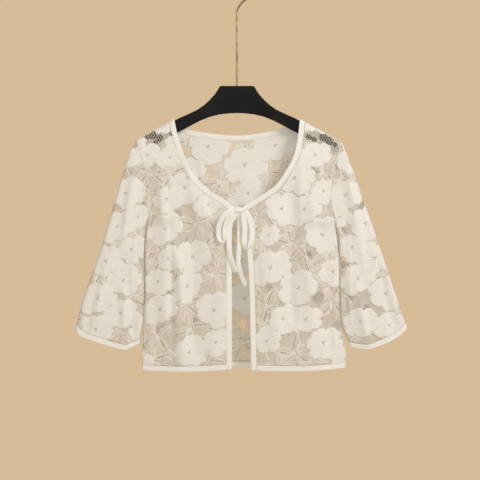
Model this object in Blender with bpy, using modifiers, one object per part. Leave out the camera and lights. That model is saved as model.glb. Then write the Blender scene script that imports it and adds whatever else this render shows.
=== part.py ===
"""Lace cardigan with elbow-length sleeves and a tied front, on a flat black hanger.

The frame is in metres with +Z up. The origin is the top of the hook's inside, where it hangs on a rod. The
fronts face -Y, and +X is on the right of someone who looks at them. Sizes below are in millimetres unless
their name says otherwise, and MM turns them into metres.

The garment hangs flat, so each panel is a sheet over its outline as seen from the front. cloth_depth says how
far in front of the hanger's plane, or behind it, the sheet stands at each place, with the folds included.
"""
import math

import bpy
import numpy as np

MM = 0.001

# Materials: colours and roughness
LACE_COLOUR = (0.86, 0.84, 0.79)
LACE_ROUGHNESS = 0.85
BINDING_COLOUR = (0.90, 0.88, 0.84)
BINDING_ROUGHNESS = 0.7
HANGER_COLOUR = (0.02, 0.02, 0.02)
HANGER_ROUGHNESS = 0.45
HOOK_COLOUR = (0.55, 0.45, 0.36)
HOOK_ROUGHNESS = 0.35

# Walls and seams
LACE_WALL = 1.4
BINDING_WALL = 2.6
BINDING_WIDTH = 10.0
SEAM_GAP = 0.3

# Shoulder line: the crest over the hanger's arms, the same on both sides
NECK_X = 116.5
NECK_Z = -258.1
SHOULDER_SLOPE = 0.545
SHOULDER_LEFT_X = -185.4
SHOULDER_RIGHT_X = 193.5

# Depth of the hanging cloth in front of the hanger's plane and behind it
CREST_DEPTH = 9.0
CREST_DROP = 8.0
CHEST_DROP = 75.0
FRONT_DEPTH = 17.0
BACK_DEPTH = 14.0
ARMHOLE_DEPTH = 11.5
ARMHOLE_BLEND = 30.0
SIDE_RADIUS = 12.0
SLEEVE_DEPTH = 11.0
CUFF_DEPTH = 9.5
SLEEVE_RADIUS = 12.0
MIDDLE_GAP = 0.05
FAR_FROM_EDGE = 100.0
FOLD_FADE = 60.0
BACK_NECK_UNDERARM_Z = -460.0

# How the neckline's binding turns from the shoulder's direction to square to its edge
NECK_TURN_START = 1.0
NECK_TURN_LENGTH = 30.0
EDGE_LOOK_AHEAD = 40.0
BACK_CREST_SLANT = 0.92
SAME_RUN = 1e-6

# Rows of the fronts and the back, and lines across them
YOKE_RUN = 22.0
KNOT_ROW_SHARE = 0.78
BELOW_KNOT_RUN = 16.0
UNDERARM_RUN = 36.0
YOKE_ROWS = 8
LOWER_ROWS = 10
FRONT_LINES = 11
BACK_NECK_LINES = 14
SHOULDER_LINES = 4
BINDING_SHARES = (0.0, 0.5, 1.0)

# Sleeves: the gap at the armhole, how the tube opens below it, and its folds
SLEEVE_ROWS = 15
SLEEVE_LINES = 8
SLEEVE_SAMPLES = 161
ARMHOLE_GAP = 0.5
UNDERARM_GAP = 1.7
UNDERARM_SHARE = 0.72
OPENED_SHARE = 0.14
OUTER_FOLD_FADE = 25.0
INNER_FOLD_FADE = 20.0
BACK_FOLD_SHARE = 0.4

# Angles at which a rolled edge is sampled, in degrees from the edge to where the sheet is flat
ROLL_ANGLES = (0, 12, 32, 52, 71, 90)


def shoulder_point(x):
    """The point of the shoulder line at x, as (x, z)."""
    return (x, NECK_Z - SHOULDER_SLOPE * (abs(x) - NECK_X))


# Outlines as (x, z), each read from the top down
NECKLINE_LEFT = [
    shoulder_point(-NECK_X), (-108.8, -292.5), (-98.1, -324.4), (-83.2, -356.2),
    (-66.2, -377.5), (-45.0, -395.0), (-23.7, -408.0), (-2.0, -425.0),
]
NECKLINE_RIGHT = [
    shoulder_point(NECK_X), (112.0, -294.9), (104.2, -327.9), (88.8, -356.6),
    (69.9, -382.4), (44.0, -400.9), (22.0, -413.8), (7.4, -425.0),
]
NECKLINE_BACK = [
    shoulder_point(-NECK_X), (-91.2, -275.0), (-69.4, -280.5), (-32.7, -285.0), (0.0, -286.8),
    (30.0, -284.8), (67.9, -277.6), (90.0, -270.5), shoulder_point(NECK_X),
]
FRONT_EDGE_LEFT = [(-2.0, -425.0), (-7.2, -450.0), (-9.6, -480.0), (-9.6, -600.0), (-9.6, -722.0)]
FRONT_EDGE_RIGHT = [
    (7.4, -425.0), (13.5, -455.0), (19.2, -510.0), (22.8, -570.0), (25.2, -676.0), (26.5, -724.0),
]
ARMHOLE_LEFT = [
    shoulder_point(SHOULDER_LEFT_X), (-177.0, -327.0), (-169.3, -350.5), (-162.8, -377.0),
    (-160.4, -402.0), (-161.8, -428.0), (-167.5, -458.0),
]
ARMHOLE_RIGHT = [
    shoulder_point(SHOULDER_RIGHT_X), (186.5, -327.0), (179.5, -343.0), (174.6, -365.0),
    (173.9, -388.0), (176.0, -422.0), (185.0, -464.0),
]
SIDE_LEFT = [
    (-167.5, -458.0), (-171.0, -500.0), (-170.6, -582.0), (-172.0, -636.0),
    (-175.2, -662.0), (-176.4, -690.0), (-175.6, -724.0),
]
SIDE_RIGHT = [
    (185.0, -464.0), (188.8, -510.0), (190.0, -582.0), (191.6, -625.0),
    (194.8, -648.0), (199.2, -674.0), (202.0, -699.0), (200.6, -720.0),
]
SLEEVE_OUTER_LEFT = [
    shoulder_point(SHOULDER_LEFT_X), (-193.6, -308.5), (-200.0, -322.0), (-206.0, -340.0), (-216.4, -374.0),
    (-242.0, -462.0), (-259.8, -519.0), (-270.0, -547.0), (-288.4, -600.0), (-300.0, -648.0),
]
SLEEVE_OUTER_RIGHT = [
    shoulder_point(SHOULDER_RIGHT_X), (200.2, -315.5), (206.0, -331.0), (214.4, -351.0), (223.0, -374.0),
    (234.8, -410.0), (251.4, -456.0), (275.0, -525.0), (296.4, -589.0), (309.4, -625.0), (315.6, -646.0),
]
SLEEVE_INNER_LEFT = [
    (-167.5, -458.0), (-176.2, -492.0), (-181.4, -530.0), (-182.4, -572.0),
    (-177.4, -594.0), (-177.4, -640.0), (-180.0, -664.0), (-183.0, -676.0),
]
SLEEVE_INNER_RIGHT = [
    (185.0, -464.0), (192.4, -510.0), (194.4, -582.0), (196.2, -625.0), (200.4, -648.0), (212.0, -681.0),
]
CUFF_LEFT = [
    (-300.0, -648.0), (-288.5, -661.5), (-262.7, -671.1), (-236.8, -679.7),
    (-210.0, -686.4), (-199.0, -683.0), (-183.0, -676.0),
]
CUFF_RIGHT = [
    (315.6, -646.0), (302.5, -659.0), (282.3, -671.5), (262.7, -679.2), (242.2, -685.8), (212.0, -681.0),
]
HEM_BACK = [(-175.6, -724.0), (-120.0, -724.5), (0.0, -720.5), (120.0, -721.5), (200.6, -720.0)]
HEM_SAG = 3.0

# Folds as ridges: (x_top, z_top, x_bottom, z_bottom, half_width, height); a negative height is a trough
FRONT_FOLDS = [
    (-140.0, -380.0, -132.0, -640.0, 13.0, 4.5),
    (-112.0, -500.0, -101.0, -700.0, 11.0, 3.5),
    (-70.0, -400.0, -48.0, -530.0, 15.0, 3.0),
    (-88.0, -420.0, -78.0, -690.0, 12.0, -3.0),
    (-30.0, -560.0, -40.0, -720.0, 14.0, 3.0),
    (60.0, -420.0, 70.0, -700.0, 15.0, 3.5),
    (98.0, -380.0, 104.0, -640.0, 12.0, -3.0),
    (135.0, -400.0, 140.0, -700.0, 14.0, 4.0),
    (166.0, -480.0, 172.0, -700.0, 9.0, -3.0),
]
BACK_FOLDS = [
    (-135.0, -400.0, -128.0, -700.0, 15.0, 4.0),
    (-96.0, -360.0, -84.0, -650.0, 13.0, -3.0),
    (-40.0, -420.0, -30.0, -710.0, 17.0, 3.5),
    (18.0, -360.0, 24.0, -640.0, 14.0, -2.5),
    (70.0, -400.0, 78.0, -710.0, 16.0, 4.0),
    (118.0, -380.0, 124.0, -600.0, 12.0, -3.0),
    (152.0, -440.0, 160.0, -700.0, 13.0, 3.5),
]
SLEEVE_FOLDS = [
    (-188.0, -330.0, -206.0, -500.0, 9.0, 3.0),
    (-222.0, -470.0, -262.0, -640.0, 12.0, 3.0),
    (-212.0, -570.0, -206.0, -680.0, 7.0, 3.0),
    (-198.0, -575.0, -194.0, -680.0, 7.0, -3.5),
    (204.0, -340.0, 222.0, -500.0, 10.0, 3.0),
    (224.0, -560.0, 240.0, -670.0, 9.0, 3.5),
    (262.0, -520.0, 290.0, -650.0, 12.0, -3.0),
]

# Ties: routes as (x, y, z), from the knot outwards or back to it
TIE_RADIUS = 2.5
TIE_STEP = 6.0
KNOT_SEGMENTS = 20
KNOT_RINGS = 12
KNOT_CENTRE = (3.0, -23.8, -427.0)
KNOT_RADII = (9.0, 5.0, 6.0)
TIE_LOOP_LEFT = [
    (-6.4, -24.2, -427.4), (-15.0, -26.2, -430.6), (-25.0, -26.0, -440.0), (-32.2, -24.0, -455.0),
    (-33.6, -22.8, -470.0), (-31.0, -22.4, -482.0), (-26.4, -22.4, -486.4), (-22.8, -22.6, -480.0),
    (-22.0, -23.6, -462.0), (-17.0, -25.8, -446.0), (-9.6, -27.2, -437.4), (-4.9, -26.6, -432.9),
]
TIE_LOOP_RIGHT = [
    (13.4, -24.2, -427.4), (19.0, -26.0, -434.0), (25.4, -25.4, -449.0), (27.8, -24.0, -466.0),
    (27.2, -23.2, -482.0), (23.2, -22.8, -495.0), (17.6, -22.8, -500.4), (13.4, -23.0, -494.0),
    (13.2, -23.6, -480.0), (14.2, -25.0, -462.0), (12.8, -26.8, -445.0), (11.0, -26.6, -433.0),
]
TIE_TAIL_LEFT = [
    (0.4, -23.0, -434.1), (-5.0, -22.0, -441.0), (-12.2, -21.5, -452.0), (-14.8, -21.6, -468.0),
    (-15.2, -21.6, -486.0), (-13.8, -21.6, -502.0), (-10.4, -21.4, -518.0), (-5.6, -20.6, -532.0),
    (-1.8, -19.6, -541.6),
]
TIE_TAIL_RIGHT = [
    (5.6, -23.3, -433.7), (4.9, -22.2, -448.0), (4.4, -21.2, -466.0), (4.3, -20.6, -486.0),
    (3.2, -20.2, -506.0), (2.6, -20.2, -524.0), (5.0, -20.4, -539.0), (9.6, -20.6, -553.0),
    (15.4, -20.8, -567.4),
]

# Hanger: half of its outline as (x, z), from the top middle round to the bottom middle
HANGER_THICKNESS = 10.0
HANGER_EDGE = 3.0
HANGER_SEAT = 2.3
HANGER_WELD = 0.01
BEVEL_SEGMENTS = 2
BEVEL_ANGLE = 50.0
ARM_TOP_X = (108.0, 144.0, 180.0)
PLATEAU_HALF_WIDTH = 31.5
PLATEAU_Z = -196.2
NECK_CURVE = [
    (PLATEAU_HALF_WIDTH, PLATEAU_Z), (40.0, -210.0), (51.0, -222.4), (62.0, -232.4),
    (74.0, -240.6), (90.0, -248.2),
]
ARM_TIP = [(186.4, -302.6), (190.4, -308.4), (191.6, -313.6), (189.4, -318.0), (184.0, -319.6)]
ARM_BOTTOM = [
    (150.0, -302.6), (108.6, -281.6), (87.5, -270.3), (69.4, -260.8), (51.0, -253.4),
    (32.7, -248.8), (14.4, -246.7), (0.0, -246.1),
]

# Hook: a round wire that screws into the hanger's top
WIRE_DIAMETER = 3.8
HOOK_INNER_RADIUS = 20.0
HOOK_STEM_TOP_Z = -58.0
HOOK_TIP_ANGLE = 200.0
HOOK_FOOT_ANGLE = -62.0
HOOK_ARC_POINTS = 22
STEM_POINTS = 4
HOOK_BEND = [(1.6, 6.5), (5.2, 12.0)]
CORD_RESOLUTION = 2


def roll(t):
    """How far a rolled edge has come out, from 0 at the edge to 1 where t reaches 1."""
    t = np.clip(t, 0.0, 1.0)
    return np.sqrt(np.maximum(1.0 - (1.0 - t) ** 2, 0.0))


def ease(t):
    """A smooth step from 0 to 1."""
    t = np.clip(t, 0.0, 1.0)
    return t * t * (3.0 - 2.0 * t)


def roll_steps(width):
    """Distances from a rolled edge at which the sheet is sampled."""
    return [width * (1.0 - math.cos(math.radians(a))) for a in ROLL_ANGLES]


def smooth_line(points, step=1.5):
    """A Catmull-Rom curve through the points, about step apart, in their own number of dimensions."""
    p = np.array(points, float)
    p = np.vstack([2 * p[0] - p[1], p, 2 * p[-1] - p[-2]])
    out = []
    for a, b, c, d in zip(p, p[1:], p[2:], p[3:]):
        n = max(2, int(np.linalg.norm(c - b) / step))
        t = np.linspace(0.0, 1.0, n, endpoint=False)[:, None]
        square = 2 * a - 5 * b + 4 * c - d
        cube = 3 * b - a - 3 * c + d
        out.append(0.5 * (2 * b + (c - a) * t + square * t**2 + cube * t**3))
    return np.vstack([*out, p[-2]])


def runs_of(line):
    """The length along a line at each of its points."""
    return np.concatenate([[0.0], np.cumsum(np.linalg.norm(np.diff(line, axis=0), axis=1))])


def at_run(line, run):
    """The point, or points, of a line at a length along it."""
    lengths = runs_of(line)
    return np.stack([np.interp(run, lengths, line[:, k]) for k in range(line.shape[1])], axis=-1)


def direction_at(line, run, reach=3.0):
    """The unit direction of a line at a length along it."""
    total = runs_of(line)[-1]
    d = at_run(line, min(run + reach, total)) - at_run(line, max(run - reach, 0.0))
    return d / np.linalg.norm(d)


def fold_height(x, z, folds):
    """The sum of the ridges at each place, soft across and faded out at both ends."""
    total = np.zeros_like(x)
    for x_top, z_top, x_bottom, z_bottom, half_width, height in folds:
        along = np.clip((z_top - z) / (z_top - z_bottom), 0.0, 1.0)
        middle = x_top + (x_bottom - x_top) * along
        across = np.exp(-(((x - middle) / half_width) ** 2))
        ends = ease((z_top - z) / FOLD_FADE + 0.5) * ease((z - z_bottom) / FOLD_FADE + 0.5)
        total = total + height * across * ends
    return total


def below_shoulder(x, z):
    """The distance of each place below the shoulder line."""
    line_z = NECK_Z - SHOULDER_SLOPE * (np.abs(x) - NECK_X)
    return np.maximum(line_z - z, 0.0) / math.hypot(1.0, SHOULDER_SLOPE)


def seam_depth(x, z, underarm_z):
    """The depth of the armhole seam: nothing at the shoulder's crest and under the arm."""
    return ARMHOLE_DEPTH * roll((z - underarm_z) / SIDE_RADIUS) * roll(below_shoulder(x, z) / CREST_DROP)


def cloth_depth(x, z, edge_distance, underarm_z, full_depth, folds):
    """How far a body panel stands from the hanger's plane, with edge_distance from its side or armhole."""
    drop = below_shoulder(x, z)
    inner = CREST_DEPTH + (full_depth - CREST_DEPTH) * ease(drop / CHEST_DROP)
    inner = inner + fold_height(x, z, folds)
    at_edge = ARMHOLE_DEPTH * roll((z - underarm_z) / SIDE_RADIUS)
    on_armhole = ease((z - underarm_z) / (2 * SIDE_RADIUS))
    rise = (1 - on_armhole) * roll(edge_distance / SIDE_RADIUS)
    rise = rise + on_armhole * ease(edge_distance / ARMHOLE_BLEND)
    return (at_edge + (inner - at_edge) * rise) * roll(drop / CREST_DROP)


def make_material(name, colour, roughness, metallic=0.0):
    """A Principled material."""
    material = bpy.data.materials.new(name)
    material.use_nodes = True
    shader = material.node_tree.nodes["Principled BSDF"]
    shader.inputs["Base Color"].default_value = (*colour, 1.0)
    shader.inputs["Roughness"].default_value = roughness
    shader.inputs["Metallic"].default_value = metallic
    material.diffuse_color = (*colour, 1.0)
    return material


def add_object(name, data, material, collection):
    """An object with this data and material in the collection."""
    data.materials.append(material)
    made = bpy.data.objects.new(name, data)
    collection.objects.link(made)
    return made


def sheet_object(name, grid, wall, material, collection, closed=False):
    """A panel through a grid of points in millimetres, rows by columns, with a wall of even thickness."""
    rows, columns, _ = grid.shape
    across = columns if closed else columns - 1
    faces = []
    for i in range(rows - 1):
        for j in range(across):
            k = (j + 1) % columns
            faces.append((i * columns + j, (i + 1) * columns + j, (i + 1) * columns + k, i * columns + k))
    mesh = bpy.data.meshes.new(name)
    mesh.from_pydata((grid.reshape(-1, 3) * MM).tolist(), [], faces)
    mesh.shade_smooth()
    made = add_object(name, mesh, material, collection)
    shell = made.modifiers.new("wall", "SOLIDIFY")
    shell.thickness = wall * MM
    shell.offset = 0.0
    return made


def with_depth(flat, depth, facing):
    """A grid of (x, z) with its depth, as (x, y, z). facing is -1 for the fronts and 1 for the back."""
    y = facing * (SEAM_GAP / 2 + MIDDLE_GAP + depth)
    return np.stack([flat[..., 0], y, flat[..., 1]], axis=-1)


def cross_vector(line, run, toward, shoulder_direction, width):
    """From a neckline edge across its binding: square to the edge, but along the shoulder at the very top."""
    d = direction_at(line, run)
    square = np.array([-d[1], d[0]])
    if square @ toward < 0:
        square = -square
    slant = np.array(shoulder_direction)
    slant = slant / abs(slant @ square)
    turn = ease((run - CREST_DROP - NECK_TURN_START) / NECK_TURN_LENGTH)
    return width * (slant * (1 - turn) + square * turn)


def body_rows(neckline_length, armhole_length, edge_length, side_length):
    """Lengths along a front's inner line and its outer line at each row, from the shoulder to the hem.

    Rows pass through the corner where the ties start and through the underarm, and the last three bound the
    panel's foot, the seam gap and the hem binding."""
    rows = [(s, s) for s in roll_steps(CREST_DROP)]
    rows += [(YOKE_RUN, YOKE_RUN)]
    knot_outer = KNOT_ROW_SHARE * armhole_length
    for t in np.linspace(0.0, 1.0, YOKE_ROWS)[1:]:
        inner_run = YOKE_RUN + (neckline_length - YOKE_RUN) * t
        rows.append((inner_run, YOKE_RUN + (knot_outer - YOKE_RUN) * t))
    knee = neckline_length + UNDERARM_RUN
    rows.append((neckline_length + BELOW_KNOT_RUN, (knot_outer + armhole_length) / 2))
    rows.append((knee, armhole_length))
    inner_end = neckline_length + edge_length - BINDING_WIDTH
    outer_end = armhole_length + side_length - BINDING_WIDTH
    for t in np.linspace(0.0, 1.0, LOWER_ROWS)[1:]:
        rows.append((knee + (inner_end - knee) * t, armhole_length + (outer_end - armhole_length) * t))
    return rows


def front_panels(side, neckline, front_edge, armhole, side_line, material, trim, collection):
    """One front with its neckline, front edge and hem bindings."""
    out = -1.0 if side == "left" else 1.0
    neck, edge = smooth_line(neckline), smooth_line(front_edge)
    arm, flank = smooth_line(armhole), smooth_line(side_line)
    neck_length, arm_length = runs_of(neck)[-1], runs_of(arm)[-1]
    edge_length, flank_length = runs_of(edge)[-1], runs_of(flank)[-1]
    inner, outer = np.vstack([neck, edge[1:]]), np.vstack([arm, flank[1:]])
    rows = body_rows(neck_length, arm_length, edge_length, flank_length)
    shoulder = np.array([out, -SHOULDER_SLOPE]) / math.hypot(1.0, SHOULDER_SLOPE)
    outward = np.array([out, -0.5])

    def across(run, width):
        """The vector across the binding at a length along the inner line, mitred at the tie's corner."""
        if abs(run - neck_length) < SAME_RUN:
            above = cross_vector(neck, neck_length, outward, shoulder, 1.0)
            below = cross_vector(edge, EDGE_LOOK_AHEAD, outward, shoulder, 1.0)
            return width * (above + below) / (1.0 + above @ below)
        if run < neck_length:
            return cross_vector(neck, run, outward, shoulder, width)
        return cross_vector(edge, max(run - neck_length, EDGE_LOOK_AHEAD), outward, shoulder, width)

    def sagged(points, share, fraction):
        """Rows below the ties bow down a little between the front edge and the side."""
        points[..., 1] -= HEM_SAG * share * 4 * fraction * (1 - fraction)
        return points

    def row_points(inner_run, outer_run, share):
        """The (x, z) of a row from the side or armhole to the binding, and how far in each point is."""
        end = at_run(inner, inner_run) + across(inner_run, BINDING_WIDTH + SEAM_GAP)
        start = at_run(outer, outer_run)
        width = np.linalg.norm(end - start)
        rolled = roll_steps(SIDE_RADIUS)
        distance = np.array(rolled + list(np.linspace(SIDE_RADIUS, width, FRONT_LINES)[1:]))
        fraction = distance / width
        points = start + (end - start) * fraction[:, None]
        return sagged(points, share, fraction), distance

    def hung(flat, distance):
        """These (x, z) points put on the hanging front."""
        x, z = flat[..., 0], flat[..., 1]
        depth = cloth_depth(x, z, distance, armhole[-1][1], FRONT_DEPTH, FRONT_FOLDS)
        return with_depth(flat, depth, -1)

    knot_row = [i for i, r in enumerate(rows) if abs(r[0] - neck_length) < SAME_RUN][0]
    below = len(rows) - 1 - knot_row
    shares = [ease((i - knot_row) / below) if i > knot_row else 0.0 for i in range(len(rows))]
    grid = [row_points(a, b, s) for (a, b), s in zip(rows, shares)]
    flat = np.array([g[0] for g in grid])
    distances = np.array([g[1] for g in grid])
    sheet_object(f"front_{side}", hung(flat, distances), LACE_WALL, material, collection)

    hem_runs = [(rows[-1][0] + g, rows[-1][1] + g) for g in (SEAM_GAP, BINDING_WIDTH)]
    strip = [row_points(a, b, 1.0) for a, b in hem_runs]
    flat = np.array([g[0] for g in strip])
    distances = np.array([g[1] for g in strip])
    sheet_object(f"hem_binding_{side}", hung(flat, distances), BINDING_WALL, trim, collection)

    inner_rows = [r[0] for r in rows] + [neck_length + edge_length]
    total = neck_length + edge_length

    def edge_strip(runs):
        """A strip between the garment's edge and the inner side of its binding."""
        flat = np.array([
            [at_run(inner, r) + across(r, BINDING_WIDTH) * t for t in BINDING_SHARES] for r in runs
        ])
        return hung(flat, np.full(flat.shape[:2], FAR_FROM_EDGE))

    upper = [r for r in inner_rows if r <= neck_length + SAME_RUN]
    lower = [r for r in inner_rows if neck_length + SAME_RUN < r <= total + SAME_RUN]
    neck_grid = edge_strip(upper)
    front_grid = edge_strip([neck_length, *lower])
    step = front_grid[1] - front_grid[0]
    front_grid[0] = front_grid[0] + step / np.linalg.norm(step, axis=1)[:, None] * SEAM_GAP
    sheet_object(f"neck_binding_{side}", neck_grid, BINDING_WALL, trim, collection)
    sheet_object(f"front_binding_{side}", front_grid, BINDING_WALL, trim, collection)


def back_panels(material, trim, collection):
    """The back with its neckline and hem bindings."""
    neck = smooth_line(NECKLINE_BACK)
    neck_length = runs_of(neck)[-1]
    near = [s / BACK_CREST_SLANT for s in roll_steps(CREST_DROP)]
    middle = list(np.linspace(near[-1], neck_length - near[-1], BACK_NECK_LINES)[1:-1])
    neck_runs = near + middle + [neck_length - s for s in reversed(near)]
    down = np.array([0.0, -1.0])

    def across(run, width):
        """The vector across the neckline's binding."""
        left = run <= neck_length / 2
        sign = -1.0 if left else 1.0
        shoulder = np.array([sign, -SHOULDER_SLOPE]) / math.hypot(1.0, SHOULDER_SLOPE)
        from_end = min(run, neck_length - run)
        d = direction_at(neck, run)
        square = np.array([d[1], -d[0]])
        square = square if square @ down > 0 else -square
        slant = shoulder / abs(shoulder @ square)
        turn = ease((from_end - near[-1] - NECK_TURN_START) / NECK_TURN_LENGTH)
        return width * (slant * (1 - turn) + square * turn)

    band = np.array([
        [at_run(neck, r) + across(r, BINDING_WIDTH) * t for t in BINDING_SHARES] for r in neck_runs
    ])
    top_neck = np.array([at_run(neck, r) + across(r, BINDING_WIDTH + SEAM_GAP) for r in neck_runs])

    def shoulder_part(tip_x, corner):
        """Points up the shoulder line from the armhole to the neckline's corner, without the corner."""
        tip = np.array(shoulder_point(tip_x))
        length = np.linalg.norm(corner - tip)
        steps = roll_steps(SIDE_RADIUS) + list(np.linspace(SIDE_RADIUS, length, SHOULDER_LINES)[1:-1])
        return np.array([tip + (corner - tip) * s / length for s in steps])

    left_part = shoulder_part(SHOULDER_LEFT_X, top_neck[0])
    right_part = shoulder_part(SHOULDER_RIGHT_X, top_neck[-1])[::-1]
    top = np.vstack([left_part, top_neck, right_part])
    across_runs = runs_of(top)
    u = across_runs / across_runs[-1]
    left = np.vstack([smooth_line(ARMHOLE_LEFT), smooth_line(SIDE_LEFT)[1:]])
    right = np.vstack([smooth_line(ARMHOLE_RIGHT), smooth_line(SIDE_RIGHT)[1:]])
    hem = smooth_line(HEM_BACK)
    left_arm = runs_of(smooth_line(ARMHOLE_LEFT))[-1]
    right_arm = runs_of(smooth_line(ARMHOLE_RIGHT))[-1]
    left_all, right_all = runs_of(left)[-1], runs_of(right)[-1]
    bottom = at_run(hem, u * runs_of(hem)[-1])

    def row_points(left_run, right_run):
        """The (x, z) of a row of the back, blended between its four edges."""
        a, b = at_run(left, left_run), at_run(right, right_run)
        v = left_run / left_all
        s, one = u[:, None], 1.0 - u[:, None]
        corners = one * ((1 - v) * left[0] + v * left[-1])
        corners = corners + s * ((1 - v) * right[0] + v * right[-1])
        return (1 - v) * top + v * bottom + one * a + s * b - corners

    rows = [(s, s) for s in roll_steps(CREST_DROP)]
    start = rows[-1][0]
    for t in np.linspace(0.0, 1.0, YOKE_ROWS)[1:]:
        rows.append((start + (left_arm - start) * t, start + (right_arm - start) * t))
    for t in np.linspace(0.0, 1.0, LOWER_ROWS)[1:]:
        rows.append((
            left_arm + (left_all - BINDING_WIDTH - left_arm) * t,
            right_arm + (right_all - BINDING_WIDTH - right_arm) * t,
        ))
    flat = np.array([row_points(a, b) for a, b in rows])
    strip = np.array([row_points(rows[-1][0] + g, rows[-1][1] + g) for g in (SEAM_GAP, BINDING_WIDTH)])

    def hung(points, distance, underarm_z):
        """These (x, z) points put on the hanging back."""
        x, z = points[..., 0], points[..., 1]
        depth = cloth_depth(x, z, distance, underarm_z, BACK_DEPTH, BACK_FOLDS)
        return with_depth(points, depth, 1)

    def hung_rows(points):
        """Whole rows of the back, each point measured from whichever side is nearer."""
        from_left = np.linalg.norm(points - points[:, :1], axis=-1)
        from_right = np.linalg.norm(points - points[:, -1:], axis=-1)
        near_left = from_left < from_right
        underarm = np.where(near_left, ARMHOLE_LEFT[-1][1], ARMHOLE_RIGHT[-1][1])
        return hung(points, np.where(near_left, from_left, from_right), underarm)

    sheet_object("back", hung_rows(flat), LACE_WALL, material, collection)
    sheet_object("hem_binding_back", hung_rows(strip), BINDING_WALL, trim, collection)
    far = np.full(band.shape[:2], FAR_FROM_EDGE)
    neck_band = hung(band, far, BACK_NECK_UNDERARM_Z)
    sheet_object("neck_binding_back", neck_band, BINDING_WALL, trim, collection)


def sleeve_panels(side, armhole, outer_line, inner_line, cuff_line, material, trim, collection):
    """One sleeve as a flattened tube, with the binding round its cuff."""
    out = -1.0 if side == "left" else 1.0
    arm, cuff = smooth_line(armhole), smooth_line(cuff_line)
    outer, inner = smooth_line(outer_line), smooth_line(inner_line)
    arm_length = runs_of(arm)[-1]
    rolled = [s / arm_length for s in roll_steps(SLEEVE_RADIUS)]
    between = list(np.linspace(rolled[-1], 1 - rolled[-1], SLEEVE_LINES)[1:-1])
    w = np.array(rolled + between + [1 - r for r in reversed(rolled)])
    start = at_run(arm, w * arm_length)
    shift = ARMHOLE_GAP + UNDERARM_GAP * ease((w - UNDERARM_SHARE) / (1 - UNDERARM_SHARE))
    start[:, 0] += out * shift
    end = at_run(cuff, w * runs_of(cuff)[-1])
    s_fine = np.linspace(0.0, 1.0, SLEEVE_SAMPLES)
    o_line = at_run(outer, s_fine * runs_of(outer)[-1])
    o_line[:, 0] += out * shift[0] * (1 - s_fine)
    i_line = at_run(inner, s_fine * runs_of(inner)[-1])
    i_line[:, 0] += out * shift[-1] * (1 - s_fine)
    s, one = s_fine[:, None, None], 1 - s_fine[:, None, None]
    ww, wone = w[None, :, None], 1 - w[None, :, None]
    corners = wone * (one * start[0] + s * end[0]) + ww * (one * start[-1] + s * end[-1])
    sides = wone * o_line[:, None] + ww * i_line[:, None]
    fine = one * start[None] + s * end[None] + sides - corners

    def along(runs_for):
        """Grid rows at the lengths that runs_for gives for each line, with the share of the way down."""
        columns, shares = [], []
        for j in range(len(w)):
            line = fine[:, j]
            total = runs_of(line)[-1]
            runs = runs_for(total)
            columns.append(at_run(line, runs))
            shares.append(runs / total)
        return np.stack(columns, axis=1), np.stack(shares, axis=1)

    def tube(runs_for):
        """The tube's rings, down the front layer and back up the back layer."""
        flat, share = along(runs_for)
        width = runs_of(flat[0])[-1] * (1 - share) + runs_of(end)[-1] * share
        from_outer, from_inner = w[None] * width, (1 - w[None]) * width
        full = SLEEVE_DEPTH + (CUFF_DEPTH - SLEEVE_DEPTH) * share
        free = full * roll(from_outer / SLEEVE_RADIUS) * roll(from_inner / SLEEVE_RADIUS)
        body = seam_depth(flat[..., 0] - out * shift[None], flat[..., 1], armhole[-1][1])
        joined = ease(share / OPENED_SHARE)
        base = body * (1 - joined) + free * joined
        edge = roll(from_outer / OUTER_FOLD_FADE) * roll(from_inner / INNER_FOLD_FADE) * joined
        folds = fold_height(flat[..., 0], flat[..., 1], SLEEVE_FOLDS) * edge
        front = np.stack([flat[..., 0], -(base + folds), flat[..., 1]], axis=-1)
        back = np.stack([flat[..., 0], base - BACK_FOLD_SHARE * folds, flat[..., 1]], axis=-1)
        return np.concatenate([front, back[:, -2:0:-1]], axis=1)

    def sleeve_runs(total):
        """Lengths of the sleeve's rings along a line of this length."""
        return (total - BINDING_WIDTH - SEAM_GAP) * np.arange(SLEEVE_ROWS) / (SLEEVE_ROWS - 1)

    def cuff_runs(total):
        """Lengths of the cuff binding's two rings along a line of this length."""
        return np.array([total - BINDING_WIDTH, total])

    sheet_object(f"sleeve_{side}", tube(sleeve_runs), LACE_WALL, material, collection, closed=True)
    sheet_object(f"cuff_binding_{side}", tube(cuff_runs), BINDING_WALL, trim, collection, closed=True)


def round_object(name, points, radius, material, collection):
    """A round cord or wire through points in millimetres."""
    curve = bpy.data.curves.new(name, "CURVE")
    curve.dimensions = "3D"
    curve.bevel_depth = radius * MM
    curve.bevel_resolution = CORD_RESOLUTION
    curve.use_fill_caps = True
    spline = curve.splines.new("POLY")
    spline.points.add(len(points) - 1)
    for k, point in enumerate(points):
        spline.points[k].co = (*(c * MM for c in point), 1.0)
    return add_object(name, curve, material, collection)


def cord_object(name, route, material, collection):
    """A tie along a smooth curve through its route."""
    line = smooth_line(route, step=0.5)
    total = runs_of(line)[-1]
    points = at_run(line, np.linspace(0.0, total, int(total / TIE_STEP) + 1))
    return round_object(name, points, TIE_RADIUS, material, collection)


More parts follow.
